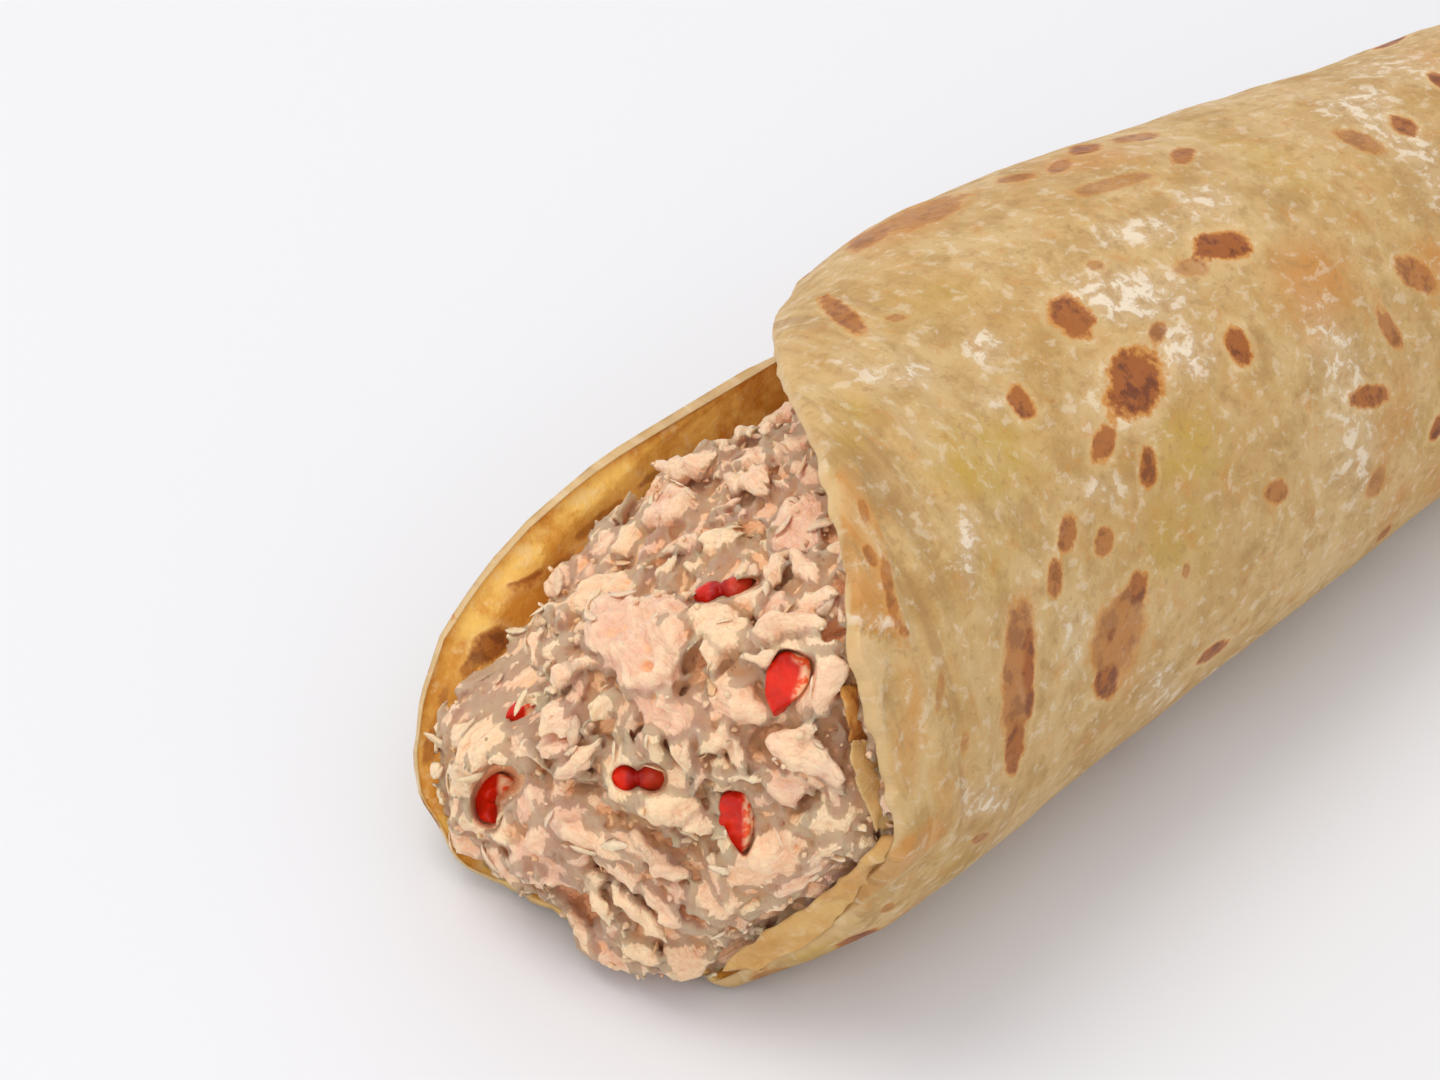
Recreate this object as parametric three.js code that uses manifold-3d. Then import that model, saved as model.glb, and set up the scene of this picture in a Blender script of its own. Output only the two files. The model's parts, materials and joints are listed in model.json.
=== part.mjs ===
// Tuna chapati wrap: one flatbread rolled round a tuna salad with red pepper pieces.
// Millimetres, +Z up. +X runs from the open front end to the narrow tail, +Y is the far side.
// Angles go round the roll in degrees: 0 at the bottom, 90 near side, 180 top, -90 far side.
import * as THREE from "three";
import { mergeVertices } from "three/addons/utils/BufferGeometryUtils.js";
import Module from "manifold-3d";

const wasm = await Module();
wasm.setup();

// Driving dimensions of the roll
const breadThickness = 2.1;
const borderThinning = 0.86; // the share of the thickness left at the rim
const rimRounding = 0.32; // how far the rounded rim stands out, as a share of the thickness
const widthShare = 1.03; // a lying roll is a little wider than its radius
const heightShare = 0.98;
const restingShare = 0.085; // part of the radius pressed flat on the table
const tableClearance = 0.15; // under the bread beside the spot that it rests on
const sideBend = -2.0;
const rollRadius = curveThrough([
  [-10, 23.5],
  [0, 25.0],
  [28, 26.3],
  [56, 23.8],
  [84, 22.2],
  [112, 19.4],
  [140, 16.8],
  [168, 14.8],
  [190, 13.2],
]);

// The flatbread: where its rolled sheet starts and ends, and its rims along the roll
const innerEdgeAngle = -104;
const freeEdgeAngle = 312;
const frontRim = curveThrough([
  [-104, 64],
  [-96, 48],
  [-83, 34.5],
  [-70, 25],
  [-55, 19],
  [-40, 17],
  [-12, 19.3],
  [21, 22.2],
  [60, 25.8],
  [96, 25.8],
  [121, 25.8],
  [146, 31.5],
  [177, 40],
  [205, 51],
  [250, 72],
  [290, 92],
  [312, 106],
]);
const tailRim = curveThrough([
  [-104, 150],
  [-60, 170],
  [0, 183],
  [70, 189],
  [150, 186],
  [220, 176],
  [270, 163],
  [312, 146],
]);
const turnLift = { height: 3.1, from: 105, to: 240 }; // the outer turn rides over the inner one
const nearBelly = { height: 1.8, from: 4, full: 40, fade: 78, to: 112, steadyTo: 24, endsAt: 39 };
const lipCurl = { depth: 4.0, from: 14, full: 40, fade: 72, to: 97, reach: 16 };
const flapCurl = { depth: 3, from: 150, full: 200, fade: 222, to: 250, reach: 17 };
const tornLayer = { angle: 106, halfAngle: 17, reach: 3.0, depth: 1.0 };
const blisters = { count: 46, height: 0.5, radius: 8, from: 15, to: 185, seed: 11 };

// The filling: a steep front face, a top that falls towards the far side, and its end in the tail
const fillingGap = 0.8;
const cutGap = 0.3; // left round the bread where a flake would touch it
const frontFace = { foot: 18.4, perY: -0.14, perZ: 0.17, bulge: 4 };
const topFace = { perY: -0.68, bulge: 2.0, closesFrom: 66, closing: 1.2 };
const topAlongWall = curveThrough([
  [16, 10],
  [24, 13.6],
  [31, 15],
  [40, 18.8],
  [48, 21.8],
  [58, 22.2],
  [70, 22.2],
]);
const wallY = 22;
const ridgeRound = 8;
const faceMiddle = { y: 0, z: 22, reach: 25 };
const faceSheet = { across: 32, back: 96, above: 90 }; // how far the face's height field reaches
const roomFrom = 8; // where the filling's room starts, in front of the open end
const tailRecess = 5;
const tailHollow = 8; // how much further in the middle of the filling's tail end lies
const lumps = { count: 230, height: 1.9, radius: 3.0, across: 28, from: 5, to: 80, seed: 5 };
const chunks = { count: 24, length: 6.0, width: 4.2, thick: 3.0, sink: 0.22, seed: 23 };
const shreds = { count: 20, length: 8.5, width: 2.0, thick: 1.7, sink: 0.15, seed: 41 };
const piecesOnFace = { across: 24, from: 14, to: 64, clearOfBread: 1.2 };

// Red pepper: cut leaves of wall, and small double pieces, pressed into the front face
const pepperGap = 0.32;
const pepperThick = 1.7;
const pepperSink = 0.35;
const pairDie = { long: 0.58, thick: 2.0, offset: 0.24 };
const pepperPieces = [
  { name: "pepper_leaf_upper", kind: "leaf", y: -15.6, z: 34.2, long: 5.2, wide: 3.7, turn: -0.45 },
  { name: "pepper_leaf_lower", kind: "leaf", y: -14.1, z: 21.4, long: 6.2, wide: 3.3, turn: 0.05 },
  { name: "pepper_pair_upper", kind: "pair", y: -2.2, z: 33.2, long: 4.6, wide: 2.7, turn: 0.75 },
  { name: "pepper_pair_middle", kind: "pair", y: -4.6, z: 22.2, long: 4.4, wide: 2.5, turn: 1.75 },
  { name: "pepper_hook", kind: "hook", y: 12.0, z: 12.7, long: 4.2, wide: 1.7, turn: 0.9 },
  { name: "pepper_sliver", kind: "leaf", y: 10.7, z: 19.9, long: 2.6, wide: 1.5, turn: 0.5 },
];

// Facets
const breadColumns = 60;
const breadRows = 17;
const restingSpot = { firstColumn: 12, lastColumn: 18, firstRow: 4, lastRow: 13 };
const roomColumns = 52;
const roomRings = 13;
const tailRings = 3;
const faceStep = 2.0;

const degrees = Math.PI / 180;

// A smooth curve through a few [place, value] pairs, level beyond its ends.
function curveThrough(pairs) {
  const slopes = pairs.map((pair, i) => {
    const before = pairs[Math.max(i - 1, 0)];
    const after = pairs[Math.min(i + 1, pairs.length - 1)];
    return (after[1] - before[1]) / (after[0] - before[0]);
  });
  return (place) => {
    const last = pairs.length - 1;
    if (place <= pairs[0][0]) return pairs[0][1];
    if (place >= pairs[last][0]) return pairs[last][1];
    const i = pairs.findIndex((pair) => pair[0] > place) - 1;
    const span = pairs[i + 1][0] - pairs[i][0];
    const t = (place - pairs[i][0]) / span;
    const rise = pairs[i + 1][1] - pairs[i][1];
    const bendIn = slopes[i] * span - rise;
    const bendOut = rise - slopes[i + 1] * span;
    return pairs[i][1] + t * rise + t * (1 - t) * ((1 - t) * bendIn + t * bendOut);
  };
}

function smoothStep(from, to, value) {
  return THREE.MathUtils.smoothstep(value, from, to);
}

// A repeatable stream of numbers from 0 to 1.
function randomFrom(seed) {
  let state = seed * 7919 + 17;
  return () => {
    state = (state * 48271) % 2147483647;
    return state / 2147483647;
  };
}

// The roll's cross-section at x: its radius and its centre.
function sectionAt(x) {
  const radius = rollRadius(x);
  const share = Math.max(0, (x - 30) / 150);
  return { radius, y: sideBend * share * share, z: radius * heightShare * (1 - restingShare) };
}

function pointAt(x, angle, radius) {
  const section = sectionAt(x);
  const y = section.y - Math.sin(angle * degrees) * widthShare * radius;
  const z = section.z - Math.cos(angle * degrees) * heightShare * radius;
  return new THREE.Vector3(x, y, z);
}

// How far a stretch of the front rim turns in towards the filling: the lip on the near bottom
// side and the flap over the top.
function curlDepth(curl, angle, behindRim) {
  const round = smoothStep(curl.from, curl.full, angle) * (1 - smoothStep(curl.fade, curl.to, angle));
  const share = THREE.MathUtils.clamp(1 - behindRim / curl.reach, 0, 1);
  return curl.depth * round * share * share;
}

// Soft blisters of a griddled bread, as low domes and dips over the sheet.
const blisterList = (() => {
  const random = randomFrom(blisters.seed);
  return Array.from({ length: blisters.count }, () => ({
    angle: innerEdgeAngle + random() * (freeEdgeAngle - innerEdgeAngle),
    x: THREE.MathUtils.lerp(blisters.from, blisters.to, random()),
    height: blisters.height * (random() * 1.6 - 0.6),
    radius: blisters.radius * (0.6 + 0.9 * random()),
  }));
})();

function blisterHeight(angle, x) {
  let height = 0;
  for (const spot of blisterList) {
    const across = ((angle - spot.angle) * degrees * rollRadius(x)) / spot.radius;
    const along = (x - spot.x) / spot.radius;
    height += spot.height * Math.exp(-across * across - along * along);
  }
  return height;
}

// A peeled inner layer of the bread reaches out past its rim on the near side.
function tornShare(angle) {
  const share = (angle - tornLayer.angle) / tornLayer.halfAngle;
  return Math.abs(share) < 1 ? (1 - share * share) ** 2 : 0;
}

// The near bottom side stands out a little beside the open end.
function bellyHeight(angle, x) {
  const rising = smoothStep(nearBelly.from, nearBelly.full, angle);
  const falling = 1 - smoothStep(nearBelly.fade, nearBelly.to, angle);
  return nearBelly.height * rising * falling * (1 - smoothStep(nearBelly.steadyTo, nearBelly.endsAt, x));
}

// The middle radius of the sheet at a place of the roll.
function sheetRadius(angle, x) {
  const behindRim = Math.max(x - frontRim(angle), 0);
  const lift = turnLift.height * smoothStep(turnLift.from, turnLift.to, angle);
  const aboveTable = smoothStep(8, 40, Math.abs(angle)) * smoothStep(0, 14, Math.abs(angle - 360));
  return (
    rollRadius(x) - breadThickness / 2 + lift + bellyHeight(angle, x)
    - curlDepth(lipCurl, angle, behindRim) - curlDepth(flapCurl, angle, behindRim)
    + blisterHeight(angle, x) * aboveTable
  );
}

// A point of the sheet: side 1 is its outer face, -1 its inner face, 0 its middle.
function sheetPoint(angle, x, side, half, aboveTable = tableClearance) {
  const point = pointAt(x, angle, sheetRadius(angle, x) + side * half);
  point.z = Math.max(point.z, aboveTable + breadThickness / 2 - side * half);
  return point;
}

// The bread rests on one flat spot with four corners, and clears the table a little round it.
function tableGap(c, r) {
  const { firstColumn, lastColumn, firstRow, lastRow } = restingSpot;
  const inside = c > firstColumn && c < lastColumn && r > firstRow && r < lastRow;
  const atCorner = (c === firstColumn || c === lastColumn) && (r === firstRow || r === lastRow);
  return inside || atCorner ? 0 : tableClearance;
}

// Collects points and faces of one closed body.
class Body {
  constructor() {
    this.points = [];
    this.faces = [];
  }
  add(point) {
    this.points.push(point);
    return this.points.length - 1;
  }
  quad(a, b, c, d) {
    this.faces.push(a, b, c, a, c, d);
  }
  triangle(a, b, c) {
    this.faces.push(a, b, c);
  }
  geometry() {
    const geometry = new THREE.BufferGeometry();
    const values = this.points.flatMap((point) => [point.x, point.y, point.z]);
    geometry.setAttribute("position", new THREE.Float32BufferAttribute(values, 3));
    geometry.setIndex(this.faces);
    return geometry;
  }
}

// Rows lie closer together near the two rims of the sheet.
function rowShare(i) {
  const t = i / breadRows;
  return t - 0.11 * Math.sin(2 * Math.PI * t);
}

// The flatbread: outer and inner faces of the rolled sheet, with a rounded rim all round,
// grown on every side by the margin.
function makeChapati(margin) {
  const body = new Body();
  const edgeReach = breadThickness * rimRounding + margin;
  const grids = [1, -1].map((side) => {
    const columns = [];
    for (let c = 0; c <= breadColumns; c++) {
      const angle = innerEdgeAngle + (c / breadColumns) * (freeEdgeAngle - innerEdgeAngle);
      const peeled = side < 0 ? tornShare(angle) : 0;
      const from = frontRim(angle) - tornLayer.reach * peeled;
      const to = tailRim(angle);
      const row = [];
      for (let r = 0; r <= breadRows; r++) {
        const x = from + rowShare(r) * (to - from);
        const extra = r === 0 ? tornLayer.depth * peeled : 0;
        const half = halfThickness(c, r) + extra + margin;
        row.push(body.add(sheetPoint(angle, x, side, half, tableGap(c, r))));
      }
      columns.push(row);
    }
    return columns;
  });
  const [outer, inner] = grids;
  for (let c = 0; c < breadColumns; c++) {
    for (let r = 0; r < breadRows; r++) {
      body.quad(outer[c][r], outer[c][r + 1], outer[c + 1][r + 1], outer[c + 1][r]);
      body.quad(inner[c][r], inner[c + 1][r], inner[c + 1][r + 1], inner[c][r + 1]);
    }
  }
  const border = borderWalk(breadColumns, breadRows);
  const middle = border.map(([c, r]) => {
    const angleStep = (edgeReach / rollRadius(100)) / degrees;
    const sideways = c === 0 ? -1 : c === breadColumns ? 1 : 0;
    const lengthways = r === 0 ? -1 : r === breadRows ? 1 : 0;
    const angle = innerEdgeAngle + (c / breadColumns) * (freeEdgeAngle - innerEdgeAngle);
    const from = frontRim(angle) - tornLayer.reach * tornShare(angle) * 0.4;
    const x = from + rowShare(r) * (tailRim(angle) - from);
    const out = sheetPoint(angle + sideways * angleStep, x, 0, 0);
    out.x += lengthways * edgeReach;
    return body.add(out);
  });
  border.forEach(([c, r], i) => {
    const next = (i + 1) % border.length;
    const [c2, r2] = border[next];
    body.quad(outer[c][r], outer[c2][r2], middle[next], middle[i]);
    body.quad(middle[i], middle[next], inner[c2][r2], inner[c][r]);
  });
  return body.geometry();
}

// The sheet is a little thinner on its border.
function halfThickness(c, r) {
  const onBorder = c === 0 || r === 0 || c === breadColumns || r === breadRows;
  return (breadThickness / 2) * (onBorder ? borderThinning : 1);
}

// The border of a grid of columns and rows, once round.
function borderWalk(columns, rows) {
  const walk = [];
  for (let c = 0; c < columns; c++) walk.push([c, 0]);
  for (let r = 0; r < rows; r++) walk.push([columns, r]);
  for (let c = columns; c > 0; c--) walk.push([c, rows]);
  for (let r = rows; r > 0; r--) walk.push([0, r]);
  return walk;
}

// The room inside the roll: the radius of the filling's side at a place.
function roomRadius(angle, x) {
  const inside = sheetRadius(angle, Math.max(x, frontRim(angle))) - breadThickness / 2 - fillingGap;
  const stepAngle = innerEdgeAngle + 360;
  const nearStep = smoothStep(stepAngle - 30, stepAngle, angle);
  const firstTurn = sheetRadius(innerEdgeAngle, x) - breadThickness / 2 - fillingGap;
  return THREE.MathUtils.lerp(inside, firstTurn, nearStep);
}

function roomPoint(x, angle, share = 1) {
  const point = pointAt(x, angle, roomRadius(angle, x) * share);
  point.z = Math.max(point.z, breadThickness + fillingGap);
  return point;
}

// The room as one body, from in front of the open end to the filling's end in the tail.
function makeRoom() {
  const body = new Body();
  const rings = [];
  const tailMiddleX = fillingEnd(60) - tailHollow;
  const columnAngle = (k) => innerEdgeAngle + (k / roomColumns) * 360;
  const addRing = (make) => {
    rings.push(Array.from({ length: roomColumns }, (_, k) => body.add(make(columnAngle(k)))));
  };
  for (let i = 0; i <= roomRings; i++) {
    const share = (i / roomRings) ** 1.7;
    addRing((angle) => roomPoint(roomFrom + share * (fillingEnd(angle) - roomFrom), angle));
  }
  for (let i = 1; i <= tailRings; i++) {
    const share = 1 - i / (tailRings + 1);
    addRing((angle) => {
      const point = roomPoint(fillingEnd(angle), angle, share);
      point.x = THREE.MathUtils.lerp(tailMiddleX, point.x, share);
      point.x += lumpHeight(3 * point.y, 3 * point.z) / 2;
      return point;
    });
  }
  for (let r = 0; r + 1 < rings.length; r++) {
    for (let k = 0; k < roomColumns; k++) {
      const next = (k + 1) % roomColumns;
      body.quad(rings[r][k], rings[r + 1][k], rings[r + 1][next], rings[r][next]);
    }
  }
  const lastRing = rings[rings.length - 1];
  const first = body.add(middleOf(body, rings[0]));
  const last = body.add(middleOf(body, lastRing));
  for (let k = 0; k < roomColumns; k++) {
    const next = (k + 1) % roomColumns;
    body.triangle(first, rings[0][k], rings[0][next]);
    body.triangle(last, lastRing[next], lastRing[k]);
  }
  return body.geometry();
}

// The filling ends a little inside the tail's rim, all the way round.
function fillingEnd(angle) {
  const stepAngle = innerEdgeAngle + 360;
  const share = smoothStep(stepAngle - 60, stepAngle, angle);
  return THREE.MathUtils.lerp(tailRim(angle), tailRim(innerEdgeAngle), share) - tailRecess;
}

// Depth of a point inside the filling's front and top faces: 0 on them, positive inside.
function depthInside(x, y, z) {
  const off = Math.hypot(y - faceMiddle.y, z - faceMiddle.z) / faceMiddle.reach;
  const middleShare = 1 - Math.min(off * off, 1);
  const footX = frontFace.foot + frontFace.perY * y + frontFace.perZ * z;
  const front = x - footX + frontFace.bulge * middleShare;
  const closing = topFace.closing * Math.max(0, x - topFace.closesFrom);
  const topZ = topAlongWall(x) + topFace.perY * (y - wallY) + topFace.bulge * middleShare + closing;
  const below = (topZ - z) / Math.hypot(1, topFace.perY);
  const blend = Math.max(ridgeRound - Math.abs(front - below), 0) / ridgeRound;
  return Math.min(front, below) - (blend * blend * ridgeRound) / 4;
}

// The exposed face is a height over a tilted plane: across goes along the roll's width,
// back runs up and back, and out points at the viewer of the open end.
const faceOut = new THREE.Vector3(-0.62, 0.1, 0.78).normalize();
const faceAcross = new THREE.Vector3(0, 1, 0).addScaledVector(faceOut, -faceOut.y).normalize();
const faceBack = new THREE.Vector3().crossVectors(faceAcross, faceOut);

const lumpList = (() => {
  const random = randomFrom(lumps.seed);
  return Array.from({ length: lumps.count }, () => ({
    across: (random() * 2 - 1) * lumps.across,
    back: THREE.MathUtils.lerp(lumps.from, lumps.to, random()),
    height: lumps.height * (random() * 2 - 1.1),
    radius: lumps.radius * (0.45 + 0.75 * random()),
  }));
})();

function lumpHeight(across, back) {
  let height = 0;
  for (const lump of lumpList) {
    const share = ((across - lump.across) ** 2 + (back - lump.back) ** 2) / lump.radius ** 2;
    height += lump.height * Math.exp(-share);
  }
  return height;
}

function facePoint(across, back) {
  const base = faceAcross.clone().multiplyScalar(across).addScaledVector(faceBack, back);
  let low = -faceSheet.above;
  let high = faceSheet.above;
  for (let pass = 0; pass < 22; pass++) {
    const middle = (low + high) / 2;
    const p = base.clone().addScaledVector(faceOut, middle);
    if (depthInside(p.x, p.y, p.z) > 0) low = middle;
    else high = middle;
  }
  return base.addScaledVector(faceOut, low + lumpHeight(across, back));
}

// What lies outside the filling's face, as one body to cut from the room.
function makeFaceCutter() {
  const body = new Body();
  const columns = Math.round((2 * faceSheet.across) / faceStep);
  const rows = Math.round(faceSheet.back / faceStep);
  const above = (point) => point.clone().addScaledVector(faceOut, faceSheet.above);
  const grid = [];
  const lid = [];
  for (let c = 0; c <= columns; c++) {
    grid.push([]);
    lid.push([]);
    for (let r = 0; r <= rows; r++) {
      const across = ((2 * c) / columns - 1) * faceSheet.across;
      const point = facePoint(across, (r / rows) * faceSheet.back);
      grid[c].push(body.add(point));
      const onBorder = c === 0 || r === 0 || c === columns || r === rows;
      lid[c].push(onBorder ? body.add(above(point)) : -1);
    }
  }
  for (let c = 0; c < columns; c++) {
    for (let r = 0; r < rows; r++) {
      body.quad(grid[c][r], grid[c + 1][r], grid[c + 1][r + 1], grid[c][r + 1]);
    }
  }
  const border = borderWalk(columns, rows);
  const top = body.add(above(above(facePoint(0, faceSheet.back / 2))));
  border.forEach(([c, r], i) => {
    const [c2, r2] = border[(i + 1) % border.length];
    body.quad(grid[c2][r2], grid[c][r], lid[c][r], lid[c2][r2]);
    body.triangle(lid[c2][r2], lid[c][r], top);
  });
  return body.geometry();
}

function middleOf(body, ring) {
  const middle = new THREE.Vector3();
  for (const i of ring) middle.add(body.points[i]);
  return middle.divideScalar(ring.length);
}

function solidOf(geometry) {
  const plain = new THREE.BufferGeometry();
  plain.setAttribute("position", geometry.getAttribute("position").clone());
  if (geometry.index) plain.setIndex(geometry.index.clone());
  const merged = mergeVertices(plain, 1e-4);
  return new wasm.Manifold(
    new wasm.Mesh({
      numProp: 3,
      vertProperties: new Float32Array(merged.attributes.position.array),
      triVerts: new Uint32Array(merged.index.array),
    }),
  );
}

function geometryOf(solid) {
  const mesh = solid.getMesh();
  const geometry = new THREE.BufferGeometry();
  geometry.setAttribute("position", new THREE.Float32BufferAttribute(mesh.vertProperties, 3));
  geometry.setIndex(Array.from(mesh.triVerts));
  return geometry;
}

// A place on the face with its outward direction and the direction up along it.
function faceFrame(across, back) {
  const at = facePoint(across, back);
  const sideways = facePoint(across + 1, back).sub(facePoint(across - 1, back));
  const backwards = facePoint(across, back + 1).sub(facePoint(across, back - 1));
  const normal = sideways.cross(backwards).normalize();
  if (normal.dot(faceOut) < 0) normal.negate();
  const up = new THREE.Vector3(0, 0, 1);
  up.addScaledVector(normal, -up.dot(normal)).normalize();
  return { at, normal, up };
}

// The same at the place of the face nearest to a given y and z.
function faceFrameAt(y, z) {
  let x = 20;
  for (let pass = 0; pass < 60; pass++) x -= 0.5 * depthInside(x, y, z);
  const place = new THREE.Vector3(x, y, z);
  return faceFrame(place.dot(faceAcross), place.dot(faceBack));
}

// Stands a geometry's X along the face, turned from upright, and its Z outwards from it.
function layOn(frame, turn, sink) {
  const long = frame.up.clone().applyAxisAngle(frame.normal, turn);
  const side = new THREE.Vector3().crossVectors(frame.normal, long);
  const matrix = new THREE.Matrix4().makeBasis(long, side, frame.normal);
  return matrix.setPosition(frame.at.clone().addScaledVector(frame.normal, -sink));
}

// A piece of fish: a rough pebble, long or round, pointed at one end and a little bent.
function makePiece(long, wide, thick, random) {
  const piece = new THREE.IcosahedronGeometry(1, 1);
  const position = piece.getAttribute("position");
  const dents = Array.from({ length: 4 }, () => ({
    at: new THREE.Vector3(random() - 0.5, random() - 0.5, random() - 0.5).normalize(),
    depth: 0.3 * random(),
  }));
  const taper = 0.45 * random();
  const bend = 0.5 * (random() - 0.5);
  const corner = new THREE.Vector3();
  for (let i = 0; i < position.count; i++) {
    corner.fromBufferAttribute(position, i);
    let size = 1;
    for (const dent of dents) size -= dent.depth * Math.max(0, corner.dot(dent.at)) ** 3;
    const narrowing = 1 - taper * corner.x;
    position.setXYZ(
      i,
      corner.x * size * long,
      corner.y * size * wide * narrowing + bend * corner.x * corner.x * wide,
      corner.z * size * thick * narrowing,
    );
  }
  return piece;
}

// Pieces spread evenly over the exposed face, each turned its own way.
function scatterPieces(kind) {
  const random = randomFrom(kind.seed);
  const room = solidOf(makeRoom());
  const pieces = [];
  for (let i = 0; pieces.length < kind.count && i < kind.count * 6; i++) {
    const acrossShare = (i * 0.754878 + 0.15 * random()) % 1;
    const backShare = (i * 0.56984 + 0.15 * random()) % 1;
    const frame = faceFrame(
      (2 * acrossShare - 1) * piecesOnFace.across,
      THREE.MathUtils.lerp(piecesOnFace.from, piecesOnFace.to, backShare),
    );
    const { angle, radius } = placeInRoll(frame.at);
    if (radius > roomRadius(angle, frame.at.x) - piecesOnFace.clearOfBread) continue;
    const half = (0.65 + 0.7 * random()) / 2;
    const piece = makePiece(kind.length * half, kind.width * half, kind.thick * half, random);
    piece.applyMatrix4(layOn(frame, random() * Math.PI, kind.sink * kind.thick * half * 2));
    pieces.push(solidOf(piece));
  }
  return pieces.reduce((all, piece) => all.add(piece)).intersect(room);
}

// The angle and the radius at which a point lies in the roll.
function placeInRoll(point) {
  const section = sectionAt(point.x);
  const across = (point.y - section.y) / widthShare;
  const up = (point.z - section.z) / heightShare;
  const angle = Math.atan2(-across, -up) / degrees;
  return { angle: angle < innerEdgeAngle ? angle + 360 : angle, radius: Math.hypot(across, up) };
}

// The filling with its pieces fused on, clear of the bread and of what is cut from it.
function makeFilling(breadGrown, pockets) {
  const pieces = scatterPieces(chunks).add(scatterPieces(shreds));
  let solid = solidOf(makeRoom()).subtract(solidOf(makeFaceCutter())).add(pieces);
  for (const cut of [breadGrown, ...pockets]) solid = solid.subtract(cut);
  return solid.decompose().sort((a, b) => b.volume() - a.volume())[0];
}

// The shape of a pepper piece, grown all round by the given margin.
function makePepper(piece, margin) {
  if (piece.kind === "pair") return makePepperPair(piece, margin);
  const outline = piece.kind === "hook" ? hookOutline(piece, margin) : leafOutline(piece, margin);
  const thick = pepperThick + 2 * margin;
  const slab = new THREE.ExtrudeGeometry(outline, { depth: thick, bevelEnabled: false, curveSegments: 6 });
  slab.translate(0, 0, -thick / 2);
  return slab;
}

// A leaf of pepper wall: one full side, one straight side and a point.
function leafOutline(piece, margin) {
  const long = piece.long / 2 + margin;
  const wide = piece.wide / 2 + margin;
  const outline = new THREE.Shape();
  outline.moveTo(-long, -0.1 * wide);
  outline.quadraticCurveTo(-0.4 * long, wide * 1.3, 0.7 * long, wide);
  outline.quadraticCurveTo(long, wide * 0.9, long, -0.3 * wide);
  outline.quadraticCurveTo(0.1 * long, -wide * 1.2, -long, -0.1 * wide);
  return outline;
}

// A hooked strip: three quarters of a ring with round ends.
function hookOutline(piece, margin) {
  const middle = piece.long / 2 - piece.wide / 2;
  const half = piece.wide / 2 + margin;
  const outline = new THREE.Shape();
  outline.absarc(0, 0, middle + half, -0.3 * Math.PI, 0.95 * Math.PI, false);
  outline.absarc(0, 0, middle - half, 0.95 * Math.PI, -0.3 * Math.PI, true);
  return outline;
}

// Two small rounded dice of pepper joined by their skin.
function makePepperPair(piece, margin) {
  const parts = [-1, 1].map((end) => {
    const die = new THREE.IcosahedronGeometry(1, 1);
    die.scale(
      (piece.long * pairDie.long) / 2 + margin,
      piece.wide / 2 + margin,
      pairDie.thick / 2 + margin,
    );
    die.translate(end * piece.long * pairDie.offset, 0, 0);
    return solidOf(die);
  });
  return geometryOf(parts[0].add(parts[1]));
}

function material(name, colour, roughness) {
  return new THREE.MeshStandardMaterial({ name, color: colour, roughness, metalness: 0 });
}

const placedPeppers = pepperPieces.map((piece) => {
  const matrix = layOn(faceFrameAt(piece.y, piece.z), piece.turn, pepperSink);
  return {
    name: piece.name,
    geometry: makePepper(piece, 0).applyMatrix4(matrix),
    pocket: solidOf(makePepper(piece, pepperGap).applyMatrix4(matrix)),
  };
});

const chapati = new THREE.Mesh(makeChapati(0), material("griddled_bread", 0xd9c290, 0.62));
chapati.name = "chapati";

const pockets = placedPeppers.map((piece) => piece.pocket);
const filling = new THREE.Mesh(
  geometryOf(makeFilling(solidOf(makeChapati(cutGap)), pockets)),
  material("tuna_salad", 0xdcb694, 0.55),
);
filling.name = "tuna_filling";

const pepperSkin = material("red_pepper", 0xd8321f, 0.3);
const peppers = placedPeppers.map((piece) => {
  const mesh = new THREE.Mesh(piece.geometry, pepperSkin);
  mesh.name = piece.name;
  return mesh;
});

// The origin is under the middle of the wrap's box, on the table.
const wrap = new THREE.Group();
wrap.add(chapati, filling, ...peppers);
const box = new THREE.Box3().setFromObject(wrap);
const middle = box.getCenter(new THREE.Vector3());
wrap.position.set(-middle.x, -middle.y, -box.min.z);

const tunaChapatiWrap = new THREE.Group();
tunaChapatiWrap.add(wrap);

export default tunaChapatiWrap;
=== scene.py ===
import json
import math

import bmesh
import bpy
import numpy as np
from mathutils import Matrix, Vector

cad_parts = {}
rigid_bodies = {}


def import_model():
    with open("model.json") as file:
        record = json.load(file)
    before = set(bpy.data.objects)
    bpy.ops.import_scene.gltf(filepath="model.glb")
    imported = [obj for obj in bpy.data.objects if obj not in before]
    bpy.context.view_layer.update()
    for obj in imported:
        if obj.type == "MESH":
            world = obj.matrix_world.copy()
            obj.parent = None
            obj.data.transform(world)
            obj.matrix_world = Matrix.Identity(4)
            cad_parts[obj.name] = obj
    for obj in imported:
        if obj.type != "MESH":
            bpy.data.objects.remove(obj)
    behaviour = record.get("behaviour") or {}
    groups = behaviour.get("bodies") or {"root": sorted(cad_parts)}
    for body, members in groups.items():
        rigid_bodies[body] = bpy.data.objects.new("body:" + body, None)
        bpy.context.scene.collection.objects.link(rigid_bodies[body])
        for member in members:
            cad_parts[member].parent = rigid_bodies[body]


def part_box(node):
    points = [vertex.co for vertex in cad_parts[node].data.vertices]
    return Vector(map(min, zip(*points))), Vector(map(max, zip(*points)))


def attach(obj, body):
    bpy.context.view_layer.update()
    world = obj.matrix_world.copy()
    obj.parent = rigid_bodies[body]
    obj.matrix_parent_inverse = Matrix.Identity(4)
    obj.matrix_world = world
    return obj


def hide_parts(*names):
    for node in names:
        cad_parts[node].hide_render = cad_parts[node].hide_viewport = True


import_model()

import openvdb
from mathutils import Matrix, Vector
from mathutils.bvhtree import BVHTree

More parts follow.
